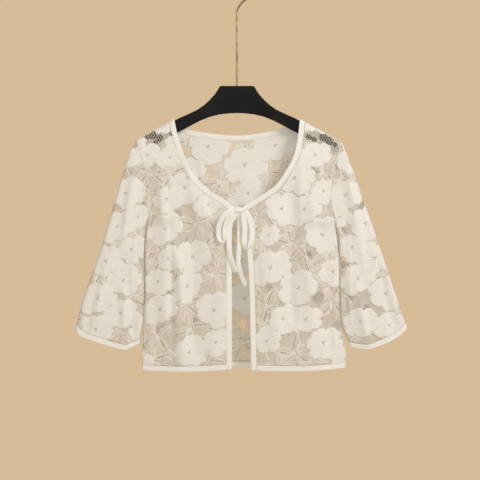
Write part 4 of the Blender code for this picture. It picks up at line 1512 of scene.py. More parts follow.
@dataclass(frozen=True)
class NetFinish:
    """Knitted net: a dense fine ground, with windows of a wider mesh where the tone is high."""

    light: Colour = tint(0.89, 0.825, 0.725)
    dark: Colour = tint(0.85, 0.77, 0.655)
    fine_pitch: float = 0.0015
    wide_pitch: float = 0.0054
    fine_thread: float = 0.20
    wide_thread: float = 0.07

    def make(self, name: str = "lace_net") -> bpy.types.Material:
        """The material."""
        g = Graph(name, roughness=0.8, sheen=0.25)
        place = g.place()
        wobble = g.node("ShaderNodeTexNoise", _Vector=place, _Scale=160.0, _Detail=1.0)
        shifted = g.node("ShaderNodeVectorMath", operation="MULTIPLY_ADD")
        g.feed(shifted.inputs[0], wobble.outputs["Color"])
        shifted.inputs[1].default_value = (0.0012, 0.0012, 0.0)
        g.feed(shifted.inputs[2], place)
        masks, heights = [], []
        for pitch, thread in ((self.fine_pitch, self.fine_thread), (self.wide_pitch, self.wide_thread)):
            near = g.diamonds(shifted.outputs[0], pitch)
            masks.append(g.ramp(near, thread + 0.02, thread - 0.02))
            heights.append(g.ramp(near, thread, 0.0))
        window = g.ramp(g.tone(), 0.48, 0.52)
        alpha = g.node("ShaderNodeMix", data_type="FLOAT", _Factor=window, _A=masks[0], _B=masks[1])
        height = g.node("ShaderNodeMix", data_type="FLOAT", _Factor=window, _A=heights[0], _B=heights[1])
        g.alpha(alpha.outputs[0])
        g.bump(height.outputs[0], 0.0004, 0.7)
        patchy = g.noise(place, 55.0, 2.0)
        g.colour(g.blend(g.ramp(patchy, 0.35, 0.65), self.dark, self.light))
        g.roughness(g.ramp(patchy, 0.3, 0.7, 0.72, 0.9))
        return g.material


@dataclass(frozen=True)
class EmbroideryFinish:
    """Close satin stitches: fine ridges, slightly shiny, each motif a little different in shade."""

    light: Colour
    dark: Colour
    pitch: float
    relief: float
    roughness: float
    mesh: float = 0.0

    def make(self, name: str) -> bpy.types.Material:
        """The material."""
        g = Graph(name, roughness=self.roughness, sheen=0.35, specular=0.35)
        place = g.place()
        if self.mesh:
            g.alpha(g.ramp(g.diamonds(place, self.pitch), self.mesh + 0.04, self.mesh - 0.04))
        ridges = 1.0 / (self.pitch * 3.2)
        grain = g.bands(place, _Scale=ridges, _Distortion=3.5, _Detail=2.0, _Detail_Scale=1.4)
        weave = g.noise(place, 900.0, 2.0)
        cloudy = g.noise(place, 60.0, 3.0)
        height = g.math("MULTIPLY_ADD", weave, 0.5, g.math("MULTIPLY", grain, 0.6))
        g.bump(height, self.relief, 0.55)
        shade = g.toned(g.ramp(cloudy, 0.3, 0.7), 0.4, 0.75)
        g.colour(g.blend(shade, self.dark, self.light))
        g.roughness(g.ramp(weave, 0.2, 0.8, self.roughness - 0.1, self.roughness + 0.14))
        return g.material


@dataclass(frozen=True)
class TapeFinish:
    """Smooth knitted tape with fine ribs across it, with a painted highlight along its folded edges that the
    mesh's tone carries.
    """

    light: Colour = tint(0.92, 0.915, 0.88)
    dark: Colour = tint(0.85, 0.84, 0.795)
    rib_pitch: float = 0.0009

    def make(self, name: str = "binding_tape") -> bpy.types.Material:
        """The material."""
        g = Graph(name, roughness=0.62, sheen=0.35, specular=0.4)
        place = g.place()
        u, _, _ = g.split(place)
        rib = g.math("PINGPONG", g.math("DIVIDE", u, self.rib_pitch), 0.5)
        fuzz = g.noise(place, 1400.0, 2.0)
        soft = g.noise(place, 90.0, 3.0)
        height = g.math("MULTIPLY_ADD", fuzz, 0.5, rib)
        g.bump(height, 0.00018, 0.5)
        # Cloudy random tone, plus the mesh's tone: painted highlight along the folded edges of bindings and
        # straps, painted shade in the knot's pleats and gathered ends.
        g.colour(g.blend(g.toned(g.ramp(soft, 0.3, 0.7), 0.45, 0.6), self.dark, self.light))
        g.roughness(g.ramp(fuzz, 0.2, 0.8, 0.54, 0.74))
        return g.material


@dataclass(frozen=True)
class ThreadFinish:
    """Twisted sewing thread, with painted shade in the grooves of its twist."""

    light: Colour = tint(0.90, 0.87, 0.81)
    dark: Colour = tint(0.66, 0.61, 0.53)

    def make(self, name: str = "sewing_thread") -> bpy.types.Material:
        """The material."""
        g = Graph(name, roughness=0.5, sheen=0.2)
        place = g.solid_place()
        twist = g.bands(place, _Scale=900.0, _Distortion=1.0)
        g.bump(twist, 0.0001, 0.6)
        # Darker where the twist's bump is low: painted shade in its grooves.
        g.colour(g.blend(g.ramp(twist, 0.1, 0.9), self.dark, self.light))
        g.roughness(g.ramp(g.noise(place, 500.0), 0.3, 0.7, 0.4, 0.62))
        return g.material


@dataclass(frozen=True)
class HangerFinish:
    """Black satin moulded plastic with a fine grain, a little paler at its edges and in faint smears, its
    roughness following the smears.
    """

    black: Colour = tint(0.0055, 0.0053, 0.0052)
    paler_black: Colour = tint(0.016, 0.0155, 0.015)

    def make(self, name: str = "hanger_black") -> bpy.types.Material:
        """The material."""
        g = Graph(name, roughness=0.42, specular=0.16)
        place = g.solid_place()
        grain = g.noise(place, 1500.0, 2.0)
        smear = g.noise(place, 28.0, 4.0)
        point = g.node("ShaderNodeNewGeometry").outputs["Pointiness"]
        edge = g.ramp(point, 0.52, 0.62)
        g.bump(grain, 0.00008, 0.35)
        paleness = g.math("MULTIPLY_ADD", edge, 0.6, g.ramp(smear, 0.45, 0.8, 0.0, 0.5), clamp=True)
        g.colour(g.blend(paleness, self.black, self.paler_black))
        g.roughness(g.ramp(smear, 0.3, 0.7, 0.34, 0.5))
        return g.material


@dataclass(frozen=True)
class WireFinish:
    """Drawn steel wire with a thin bronze plating, dulled by handling and brushed along its length."""

    bright: Colour = tint(0.40, 0.29, 0.20)
    dull: Colour = tint(0.25, 0.175, 0.12)

    def make(self, name: str = "hook_wire") -> bpy.types.Material:
        """The material."""
        g = Graph(name, roughness=0.42, metallic=1.0)
        place = g.solid_place()
        stretched = g.node("ShaderNodeMapping", _Vector=place)
        stretched.inputs["Scale"].default_value = (1500.0, 1500.0, 25.0)
        drawn = g.noise(stretched.outputs[0], 1.0, 2.0)
        patina = g.noise(place, 60.0, 3.0)
        g.bump(drawn, 0.00002, 0.15)
        g.colour(g.blend(g.ramp(patina, 0.35, 0.7), self.bright, self.dull))
        g.roughness(g.ramp(patina, 0.3, 0.75, 0.38, 0.52))
        return g.material


@dataclass
class Finishes:
    """The materials of the soft pieces, made once."""

    net: bpy.types.Material = field(default_factory=lambda: NetFinish().make())
    petal: bpy.types.Material = field(default_factory=lambda: EmbroideryFinish(
        tint(0.86, 0.84, 0.80), tint(0.81, 0.785, 0.735), 0.0007, 0.0002, 0.6).make("lace_petal"))
    leaf: bpy.types.Material = field(default_factory=lambda: EmbroideryFinish(
        tint(0.83, 0.765, 0.675), tint(0.77, 0.70, 0.60), 0.0011, 0.0003, 0.7, mesh=0.2).make("lace_leaf"))
    stem: bpy.types.Material = field(default_factory=lambda: EmbroideryFinish(
        tint(0.96, 0.95, 0.91), tint(0.90, 0.88, 0.83), 0.0005, 0.0002, 0.5).make("lace_stem"))
    # Near-black discs in the eyelets: painted shade where the holes show a shadowed inside.
    eyelet: bpy.types.Material = field(default_factory=lambda: EmbroideryFinish(
        tint(0.15, 0.12, 0.09), tint(0.09, 0.07, 0.05), 0.0005, 0.0002, 0.8).make("lace_eyelet_painted_shade"))
    tape: bpy.types.Material = field(default_factory=lambda: TapeFinish().make())
    thread: bpy.types.Material = field(default_factory=lambda: ThreadFinish().make())

    @property
    def motif(self) -> list[bpy.types.Material]:
        """The materials of a motif mesh, in Finish's order."""
        return [self.petal, self.leaf, self.stem, self.eyelet]


# The garment's pieces


def settle_piece(piece: bpy.types.Object, slot: str, *nodes: str) -> None:
    """Puts a piece on the object's one body, hides the nodes it stands for and logs its triangles."""
    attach(piece, "root")
    if nodes:
        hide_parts(*nodes)
    triangles = sum(len(p.vertices) - 2 for p in piece.data.polygons)
    LOG.info("%s: %d triangles", piece.name, triangles)


@dataclass
class Stitching:
    """Rows of stitches, gathered from every seam and made in one go by Geometry Nodes."""

    spacing: float = STITCH_SPACING
    length: float = 2.0
    radius: float = 0.26
    bend_per_metre: float = -260.0
    rows: list[Array] = field(default_factory=list)

    def add(self, points: Array) -> None:
        """Adds a row of stitches along points in millimetres."""
        self.rows.append(points)

    def tree(self, material: bpy.types.Material) -> bpy.types.NodeTree:
        """The node tree that sets a thin capsule at even steps of each curve.

        Args:
            material: The thread.

        Returns:
            The tree, with inputs Spacing, Length and Radius in metres.
        """
        tree = bpy.data.node_groups.new("stitch_rows", "GeometryNodeTree")
        face = tree.interface
        face.new_socket("Geometry", in_out="INPUT", socket_type="NodeSocketGeometry")
        for name in ("Spacing", "Length", "Radius"):
            face.new_socket(name, in_out="INPUT", socket_type="NodeSocketFloat")
        face.new_socket("Geometry", in_out="OUTPUT", socket_type="NodeSocketGeometry")
        new = tree.nodes.new
        start, end = new("NodeGroupInput"), new("NodeGroupOutput")
        spread, stitch = new("GeometryNodeCurveToPoints"), new("GeometryNodeMeshCylinder")
        spread.mode = "LENGTH"
        stitch.inputs["Vertices"].default_value = 6
        stitch.inputs["Side Segments"].default_value = 3
        where, parts = new("GeometryNodeInputPosition"), new("ShaderNodeSeparateXYZ")
        square, pull = new("ShaderNodeMath"), new("ShaderNodeMath")
        square.operation = pull.operation = "MULTIPLY"
        pull.inputs[1].default_value = self.bend_per_metre
        shift, bow = new("ShaderNodeCombineXYZ"), new("GeometryNodeSetPosition")
        laid, real = new("GeometryNodeInstanceOnPoints"), new("GeometryNodeRealizeInstances")
        dress = new("GeometryNodeSetMaterial")
        dress.inputs["Material"].default_value = material
        for source, socket, target, name in (
            (start, "Geometry", spread, "Curve"), (start, "Spacing", spread, "Length"),
            (start, "Radius", stitch, "Radius"), (start, "Length", stitch, "Depth"),
            (where, 0, parts, 0), (parts, "Z", square, 0), (parts, "Z", square, 1), (square, 0, pull, 0),
            (pull, 0, shift, "X"), (stitch, "Mesh", bow, "Geometry"), (shift, 0, bow, "Offset"),
            (spread, "Points", laid, "Points"), (bow, "Geometry", laid, "Instance"),
            (spread, "Rotation", laid, "Rotation"), (laid, 0, real, 0), (real, 0, dress, "Geometry"),
            (dress, 0, end, 0),
        ):
            tree.links.new(source.outputs[socket], target.inputs[name])
        return tree

    def build(self, name: str, material: bpy.types.Material) -> bpy.types.Object:
        """Makes all rows as one mesh.

        Args:
            name: The piece's name.
            material: The thread.

        Returns:
            The piece.
        """
        curve = bpy.data.curves.new(name + "_rows", "CURVE")
        curve.dimensions = "3D"
        for row in self.rows:
            spline = curve.splines.new("POLY")
            spline.points.add(len(row) - 1)
            flat = np.column_stack([row * MM, np.ones(len(row))])
            spline.points.foreach_set("co", flat.ravel())
        holder = bpy.data.objects.new(name + "_rows", curve)
        bpy.context.scene.collection.objects.link(holder)
        tree = self.tree(material)
        rows = holder.modifiers.new("stitches", "NODES")
        rows.node_group = tree
        sizes = {"Spacing": self.spacing, "Length": self.length, "Radius": self.radius}
        for item in tree.interface.items_tree:
            if item.name in sizes and item.in_out == "INPUT":
                rows[item.identifier] = sizes[item.name] * MM
        held = holder.evaluated_get(bpy.context.evaluated_depsgraph_get())
        mesh = bpy.data.meshes.new_from_object(held)
        mesh.name = name
        mesh.shade_smooth()
        made = bpy.data.objects.new(name, mesh)
        bpy.context.scene.collection.objects.link(made)
        bpy.data.objects.remove(holder, do_unlink=True)
        return made


@dataclass
class Binding:
    """The folded tape on an edge: a strip with rounded edges and a row of stitches by its inner side."""

    columns: int = 11
    stitch_inset: float = 1.7

    EDGE_PART = 0.13
    DIP, DIP_PART = 0.45, 0.06
    PUCKER, PUCKER_DRIFT = 0.16, 17.0
    PUCKER_PLACE, PUCKER_PART = 0.86, 0.14
    # The tone is higher towards both edges: a painted highlight along the folded edges.
    MIDDLE_TONE, EDGE_TONE = 0.35, 0.55
    STITCH_LIFT = 0.1

    def shares(self) -> Array:
        """Shares of the width at which the tape is sampled, closer together at its edges."""
        t = np.linspace(0.0, math.pi, self.columns)
        return (1 - np.cos(t)) / 2

    def thickness(self) -> Array:
        """The tape's thickness at each share: thin at its two edges, with a faint dip under the stitches."""
        s = self.shares()
        edge = roll(np.minimum(s, 1 - s) / self.EDGE_PART)
        dip = self.DIP * np.exp(-(((s - 1 + self.stitch_inset / BINDING_WIDTH) / self.DIP_PART) ** 2))
        return BINDING_EDGE_THICKNESS + (BINDING_THICKNESS - BINDING_EDGE_THICKNESS) * edge - dip

    def build(self, name: str, grid: Array, closed: bool, outward: Array, finishes: Finishes,
              stitching: Stitching) -> bpy.types.Object:
        """Makes one strip.

        Args:
            name: The CAD node that it stands for.
            grid: Its middle surface: runs by shares, from the free edge to the panel.
            closed: Whether the runs close into a ring.
            outward: The way that its face looks.
            finishes: The materials.
            stitching: What its row of stitches is added to.

        Returns:
            The piece.
        """
        runs = Line(grid[:, self.columns // 2]).runs
        places = np.stack(np.meshgrid(runs, self.shares() * BINDING_WIDTH, indexing="ij"), axis=-1)
        wave = np.sin(runs / STITCH_SPACING * 2 * math.pi + np.sin(runs / self.PUCKER_DRIFT))
        pucker = self.PUCKER * wave[:, None]
        near = np.exp(-(((self.shares() - self.PUCKER_PLACE) / self.PUCKER_PART) ** 2))[None]
        normal, _ = grid_normals(grid.transpose(1, 0, 2), closed, outward)
        normal = normal.transpose(1, 0, 2)
        waved = grid + normal * (pucker * near)[..., None]
        # Painted highlight: the tone rises towards both folded edges.
        tone = self.MIDDLE_TONE + self.EDGE_TONE * roll(np.abs(self.shares() * 2 - 1) ** 3)
        parts = MeshParts()
        shell(parts, waved.transpose(1, 0, 2), self.thickness()[:, None], closed, outward,
              places.transpose(1, 0, 2), tone[:, None])
        piece = parts.to_object(f"{name}_tape", [finishes.tape])
        settle_piece(piece, "binding", name)
        inset = 1 - self.stitch_inset / BINDING_WIDTH
        column = int(np.abs(self.shares() - inset).argmin())
        reach = self.thickness()[column] / 2 + self.STITCH_LIFT
        for sign in (1.0, -1.0):
            stitching.add(grid[:, column] + normal[:, column] * reach * sign)
        return piece


@dataclass
class Panel:
    """What every cut piece of lace shares: its net, its embroidery and its binding tape."""

    finishes: Finishes
    stitching: Stitching

    def tape(self, name: str, grid: Array, outward: Array, closed: bool = False) -> bpy.types.Object:
        """Makes one strip of binding."""
        return Binding().build(name, grid, closed, outward, self.finishes, self.stitching)

    def declare(self, name: str, pieces: Sequence[bpy.types.Object], grid: Array, closed: bool) -> None:
        """Takes a cut piece's name, pieces and grid, and does nothing with them."""

    def dress(self, name: str, grid: Array, closed: bool, outward: Array, ground: Ground,
              layouts: Sequence[Layout], places: Array, openness: Array, seed: int, flat: Array,
              seams: Sequence[tuple[Array, Array]] = ()) -> list[bpy.types.Object]:
        """Makes the net and the embroidery of one cut piece.

        Args:
            name: Its CAD node.
            grid: Its middle surface.
            closed: Whether it is a tube.
            outward: The way its face looks.
            ground: Where its motifs lie.
            layouts: Its layouts, one for each layer.
            places: A UV place for each grid point.
            openness: The windows of its net.
            seed: The seed of its small differences.
            flat: The grid's (x, z).
            seams: Sewn seams, each as its points and the way that it stands out there.

        Returns:
            The net, the leaves and the flowers.
        """
        blooms = [b for layout in layouts for b in layout.blooms]
        over = np.roll(flat, -1, axis=1)[1:] if closed else flat[1:, 1:]
        cells = (over + (flat[:-1] if closed else flat[:-1, :-1])) / 2
        facing = grid[:-1, :cells.shape[1], 1]
        keep = np.ones(cells.shape[:2], bool)
        for bloom in blooms:
            gap = np.linalg.norm(cells - bloom.centre, axis=-1)
            keep &= (gap > HEART_RADIUS) | (facing * bloom.layer.value < 0)
        parts = MeshParts()
        shell(parts, grid, NET_WALL, closed, outward, places, openness, keep)
        net = parts.to_object(f"{name}_net", [self.finishes.net])
        settle_piece(net, "lace", name)
        leaves, flowers = Embroidery(ground, seed), Embroidery(ground, seed + 50)
        for points, standing in seams:
            leaves.tube(points, standing, SEAM_WIDTH, SEAM_HEIGHT, 0.5)
        for layout in layouts:
            for spray in layout.sprays:
                leaves.spray(spray, [b for b in blooms if b.layer is spray.layer])
        for bloom in blooms:
            flowers.flower(bloom)
        pieces = [net]
        for kind, work in (("leaves", leaves), ("flowers", flowers)):
            piece = work.parts.to_object(f"{name}_{kind}", self.finishes.motif)
            settle_piece(piece, "lace", name)
            pieces.append(piece)
        return pieces


@dataclass
class FrontPanel(Panel):
    """One front with its neckline, front edge and hem bindings.

    Its first rows lie over the crest at CREST_ANGLES. The row by the knot ends at KNOT_SHARE of the armhole.
    """

    SEEDS = {Side.LEFT: 21, Side.RIGHT: 22}
    CREST_ANGLES = (0, 12, 32, 52, 71, 90)
    BELOW_CREST = 22.0
    KNOT_SHARE = 0.78
    KNOT_DROP, KNEE_DROP = 16.0, 36.0
    UPPER_ROWS, LOWER_ROWS, HEM_COLUMNS = 8, 10, 70
    BINDING_STEP = 3.0
    ABOVE_CORNER, BELOW_CORNER = 0.3, 1.0
    SEAM_STITCH = (0.6, -0.5)

    side: Side = Side.LEFT
    neckline: Pairs = field(default_factory=list)
    front_edge: Pairs = field(default_factory=list)
    armhole: Pairs = field(default_factory=list)
    side_line: Pairs = field(default_factory=list)
    layout: Layout = field(default_factory=Layout)

    def __post_init__(self) -> None:
        """Draws the outline's lines."""
        self.neck, self.edge = Line.through(self.neckline), Line.through(self.front_edge)
        self.arm, self.flank = Line.through(self.armhole), Line.through(self.side_line)
        self.inner, self.outer = self.neck.joined(self.edge), self.arm.joined(self.flank)
        self.drape = Drape(FRONT_DEPTH, FRONT_FOLDS + FRONT_CREASES)
        self.toward = np.array([self.side.out, -0.5])
        self.shoulder = np.array([self.side.out, -SHOULDER_SLOPE]) / math.hypot(1.0, SHOULDER_SLOPE)

    def rows(self) -> Array:
        """Lengths along the inner and the outer line at each row, with the row's number in the solids."""
        neck, arm = self.neck.length, self.arm.length
        below_crest, knot_outer = self.BELOW_CREST, self.KNOT_SHARE * arm
        rows = [(s, s) for s in (CREST_DROP * (1.0 - math.cos(math.radians(a))) for a in self.CREST_ANGLES)]
        last_crest = len(rows) - 1
        for t in np.linspace(0, 1, self.UPPER_ROWS):
            rows.append(tuple(below_crest + (end - below_crest) * t for end in (neck, knot_outer)))
        self.knot_row = len(rows) - 1
        knee = neck + self.KNEE_DROP
        rows += [(neck + self.KNOT_DROP, (knot_outer + arm) / 2), (knee, arm)]
        inner_end = neck + self.edge.length - BINDING_WIDTH
        outer_end = arm + self.flank.length - BINDING_WIDTH
        for t in np.linspace(0, 1, self.LOWER_ROWS)[1:]:
            rows.append((knee + (inner_end - knee) * t, arm + (outer_end - arm) * t))
        self.last_row = len(rows) - 1
        numbered = [(a, b, float(i)) for i, (a, b) in enumerate(rows)]
        fine = refined(numbered, ROW_STEP)
        crest = refined(numbered[:last_crest + 1], FRONT_CREST_STEP)
        return np.vstack([crest, fine[fine[:, 2] > last_crest]])

    def across(self, run: float, width: float) -> Array:
        """The vector across the binding at a length along the inner line, mitred at the tie's corner."""
        neck = self.neck.length
        if abs(run - neck) < 1e-6:
            above = cross_vector(self.neck, neck, self.toward, self.shoulder, 1.0)
            below = cross_vector(self.edge, EDGE_LOOK_AHEAD, self.toward, self.shoulder, 1.0)
            return width * (above + below) / (1.0 + above @ below)
        if run < neck:
            return cross_vector(self.neck, run, self.toward, self.shoulder, width)
        return cross_vector(self.edge, max(run - neck, EDGE_LOOK_AHEAD), self.toward, self.shoulder, width)

    def share(self, number: float) -> float:
        """How much the row of this number sags."""
        return float(ease((number - self.knot_row) / (self.last_row - self.knot_row)))

    def row(self, inner_run: float, outer_run: float, share: float, count: int = 42) -> tuple[Array, Array]:
        """One row from the side or armhole to the binding.

        Args:
            inner_run: The length along the inner line.
            outer_run: The length along the outer line.
            share: How much the row sags.
            count: The number of points past the rolled edge.

        Returns:
            The places as (x, z), and how far each is in from the side.
        """
        end = self.inner.at(inner_run) + self.across(inner_run, BINDING_WIDTH + SEAM_GAP)
        start = self.outer.at(outer_run)
        width = np.linalg.norm(end - start)
        distance = np.array(roll_steps(SIDE_RADIUS) + list(np.linspace(SIDE_RADIUS, width, count)[1:]))
        fraction = distance / width
        points = start + (end - start) * fraction[:, None]
        points[..., 1] -= HEM_SAG * share * 4 * fraction * (1 - fraction)
        return points, distance

    def place(self, flat: Array, distance: Array) -> Array:
        """Places as (x, z) put on the hanging front."""
        depth = self.drape.depth(flat, distance, self.armhole[-1][1])
        return with_depth(flat, depth, Layer.FRONT)

    def edge_strip(self, runs: Sequence[float], shares: Array) -> Array:
        """The middle surface of the inner edge's binding.

        Args:
            runs: Lengths along the inner line.
            shares: Shares of the binding's width.

        Returns:
            Points, runs by shares.
        """
        band = [[self.inner.at(r) + self.across(r, BINDING_WIDTH) * t for t in shares] for r in runs]
        flat = np.array(band)
        return self.place(flat, np.full(flat.shape[:2], FAR_FROM_EDGE))

    def strip_at(self, inner_runs: Array, outer_runs: Array, shares: Sequence[float],
                 count: int = 42) -> tuple[Array, Array]:
        """Rows of the hanging front.

        Args:
            inner_runs: Each row's length along the inner line.
            outer_runs: Each row's length along the outer line.
            shares: How much each row sags.
            count: The number of points past the rolled edge.

        Returns:
            The points, and their places as (x, z).
        """
        made = [self.row(a, b, share, count) for a, b, share in zip(inner_runs, outer_runs, shares)]
        flat = np.array([m[0] for m in made])
        return self.place(flat, np.array([m[1] for m in made])), flat

    def build(self) -> None:
        """Makes the front and its bindings."""
        rows = self.rows()
        grid, flat = self.strip_at(rows[:, 0], rows[:, 1], [self.share(n) for n in rows[:, 2]])
        outward = Layer.FRONT.outward
        ground = BodyGround(grid, Layer.FRONT, [(self.side, 0)], FRONT_DEPTH * ROLL_SHARE,
                            lambda _: self.armhole[-1][1])
        layout = self.layout.filled(ground.polygons[Layer.FRONT], Layer.FRONT)
        name = f"front_{self.side.value}"
        places, shift = flat.copy(), row_runs(grid)
        places[..., 0] = flat[:, -1:, 0] + self.side.out * (shift[:, -1:] - shift)
        pieces = self.dress(name, grid, False, outward, ground, [layout], places, layout.openness(flat),
                            self.SEEDS[self.side], flat)
        pieces += self.bindings(rows, outward)
        self.declare(name, pieces, grid, False)
        inwards, forwards = self.SEAM_STITCH
        self.stitching.add(grid[2:-2, 0] + np.array([-self.side.out * inwards, forwards, 0.0]))

    def bindings(self, rows: Array, outward: Array) -> list[bpy.types.Object]:
        """Makes the bindings of the neckline, the front edge and the hem."""
        shares = Binding().shares()
        neck, total = self.neck.length, self.neck.length + self.edge.length
        runs = refined([(0, r) for r in (*rows[:, 0], total)], self.BINDING_STEP)[:, 1]
        upper = sorted({round(r, 4) for r in runs if r < neck - self.ABOVE_CORNER} | {neck})
        lower = [r for r in runs if r > neck + self.BELOW_CORNER]
        high = self.edge_strip(upper, shares)
        low = self.edge_strip([neck, *lower], shares)
        step = low[1] - low[0]
        low[0] += step / np.linalg.norm(step, axis=1)[:, None] * SEAM_GAP
        side = self.side.value
        gaps = SEAM_GAP + (BINDING_WIDTH - SEAM_GAP) * (1 - shares)
        ends = rows[-1, :2, None] + gaps
        hem, _ = self.strip_at(*ends, np.ones(len(gaps)), self.HEM_COLUMNS)
        return [
            self.tape(f"neck_binding_{side}", high, outward),
            self.tape(f"front_binding_{side}", low, outward),
            self.tape(f"hem_binding_{side}", hem.transpose(1, 0, 2), outward),
        ]


@dataclass
class BackPanel(Panel):
    """The back with its neckline and hem bindings."""

    SEED = 23
    TOP_POINTS, NECK_POINTS, SHOULDER_POINTS = 56, 76, 12

    layout: Layout = field(default_factory=Layout)

    def __post_init__(self) -> None:
        """Draws the outline's lines."""
        self.neck = Line.through(NECKLINE_BACK)
        self.left = Line.through(ARMHOLE_LEFT).joined(Line.through(SIDE_LEFT))
        self.right = Line.through(ARMHOLE_RIGHT).joined(Line.through(SIDE_RIGHT))
        self.hem = Line.through(HEM_BACK)
        self.drape = Drape(BACK_DEPTH, BACK_FOLDS + BACK_CREASES)
        self.crest_end = CREST_DROP / BACK_CREST_SLANT

    def across(self, run: float, width: float) -> Array:
        """The vector across the neckline's binding."""
        sign = -1.0 if run <= self.neck.length / 2 else 1.0
        shoulder = np.array([sign, -SHOULDER_SLOPE]) / math.hypot(1.0, SHOULDER_SLOPE)
        d = self.neck.direction(run)
        square = np.array([d[1], -d[0]])
        square = square if square[1] < 0 else -square
        slant = shoulder / abs(shoulder @ square)
        from_end = min(run, self.neck.length - run)
        turn = ease((from_end - self.crest_end - NECK_TURN_START) / NECK_TURN_LENGTH)
        return width * (slant * (1 - turn) + square * turn)

    def neck_runs(self, count: int) -> list[float]:
        """Lengths along the neckline, close together over both crests, with about count between them."""
        near = [s / BACK_CREST_SLANT for s in roll_steps(CREST_DROP)]
        middle = np.linspace(near[-1], self.neck.length - near[-1], count)[1:-1]
        return [*near, *middle, *(self.neck.length - s for s in reversed(near))]

    def top(self) -> Array:
        """The panel's upper edge, along both shoulders and under the neckline's binding."""
        width = BINDING_WIDTH + SEAM_GAP
        middle = np.array([self.neck.at(r) + self.across(r, width) for r in self.neck_runs(self.TOP_POINTS)])

        def shoulder_part(tip_x: float, corner: Array) -> Array:
            """Points up the shoulder line from the armhole, without the corner."""
            tip = np.array(shoulder_point(tip_x))
            size = np.linalg.norm(corner - tip)
            steps = [*roll_steps(SIDE_RADIUS), *np.linspace(SIDE_RADIUS, size, self.SHOULDER_POINTS)[1:-1]]
            return np.array([tip + (corner - tip) * s / size for s in steps])

        left = shoulder_part(SHOULDER_LEFT_X, middle[0])
        right = shoulder_part(SHOULDER_RIGHT_X, middle[-1])[::-1]
        return np.vstack([left, middle, right])

    def surface(self, top: Array, left_runs: Array, right_runs: Array) -> Array:
        """The (x, z) of rows of the back, blended between its four edges."""
        u = Line(top).runs / Line(top).length
        bottom = self.hem.at(u * self.hem.length)
        a, b = self.left.at(left_runs)[:, None], self.right.at(right_runs)[:, None]
        v = (left_runs / self.left.length)[:, None, None]
        s, one = u[None, :, None], 1.0 - u[None, :, None]
        corners = one * ((1 - v) * self.left.points[0] + v * self.left.points[-1])
        corners = corners + s * ((1 - v) * self.right.points[0] + v * self.right.points[-1])
        return (1 - v) * top[None] + v * bottom[None] + one * a + s * b - corners

    def place(self, flat: Array) -> Array:
        """Places as (x, z) put on the hanging back, each measured from the side that is nearer."""
        from_left = np.linalg.norm(flat - flat[:, :1], axis=-1)
        from_right = np.linalg.norm(flat - flat[:, -1:], axis=-1)
        underarm = np.where(from_left < from_right, UNDERARM_Z[Side.LEFT], UNDERARM_Z[Side.RIGHT])
        depth = self.drape.depth(flat, np.minimum(from_left, from_right), underarm)
        return with_depth(flat, depth, Layer.BACK)

    def seams(self, flat: Array, sides: Sequence[tuple[Side, int]]) -> list[tuple[Array, Array]]:
        """The shoulder and side seams, which lie in the hanger's plane.

        Args:
            flat: The panel's (x, z).
            sides: Its sides, each with its column.

        Returns:
            Each seam's points, and the way that it stands out there.
        """
        in_plane = np.stack([flat[..., 0], np.zeros(flat.shape[:2]), flat[..., 1]], axis=-1)
        shoulders, flanks = [], []
        for side, column in sides:
            beside = flat[0, :, 0] * side.out > NECK_X + BINDING_WIDTH
            shoulders.append((in_plane[0, beside], (0.0, 0.0, 1.0)))
            below = flat[:, column, 1] < UNDERARM_Z[side] - SEAM_WIDTH
            flanks.append((in_plane[below, column], (side.out, 0.0, 0.0)))
        return [(line, np.tile(standing, (len(line), 1))) for line, standing in shoulders + flanks]

    def build(self) -> None:
        """Makes the back and its bindings."""
        top = self.top()
        arms = Line.through(ARMHOLE_LEFT).length, Line.through(ARMHOLE_RIGHT).length
        ends = self.left.length - BINDING_WIDTH, self.right.length - BINDING_WIDTH
        crest = refined([(s, s) for s in (0.0, CREST_DROP)], BACK_CREST_STEP)
        rest = refined([(CREST_DROP, CREST_DROP), arms, ends], ROW_STEP)
        pairs = np.vstack([crest, rest[1:]])
        flat = self.surface(top, pairs[:, 0], pairs[:, 1])
        grid = self.place(flat)
        sides = [(Side.LEFT, 0), (Side.RIGHT, -1)]
        ground = BodyGround(grid, Layer.BACK, sides, BACK_DEPTH * ROLL_SHARE, lambda side: UNDERARM_Z[side])
        layout = self.layout.on(Layer.BACK).filled(ground.polygons[Layer.BACK], Layer.BACK)
        shift = row_runs(grid)
        places = np.stack([shift - shift[:, -1:] / 2, flat[..., 1]], axis=-1)
        pieces = self.dress("back", grid, False, Layer.BACK.outward, ground, [layout], places,
                            layout.openness(flat), self.SEED, flat, self.seams(flat, sides))
        pieces += self.bindings(top)
        self.declare("back", pieces, grid, False)

    def bindings(self, top: Array) -> list[bpy.types.Object]:
        """Makes the bindings of the neckline and the hem."""
        shares = Binding().shares()
        runs = self.neck_runs(self.NECK_POINTS)
        band = np.array([[self.neck.at(r) + self.across(r, BINDING_WIDTH) * t for t in shares] for r in runs])
        far = np.full(band.shape[:2], FAR_FROM_EDGE)
        neck = with_depth(band, self.drape.depth(band, far, BACK_NECK_UNDERARM_Z), Layer.BACK)
        gaps = SEAM_GAP + (BINDING_WIDTH - SEAM_GAP) * (1 - shares)
        strip = self.surface(top, *(line.length - BINDING_WIDTH + gaps for line in (self.left, self.right)))
        return [
            self.tape("neck_binding_back", neck, Layer.BACK.outward),
            self.tape("hem_binding_back", self.place(strip).transpose(1, 0, 2), Layer.BACK.outward),
        ]


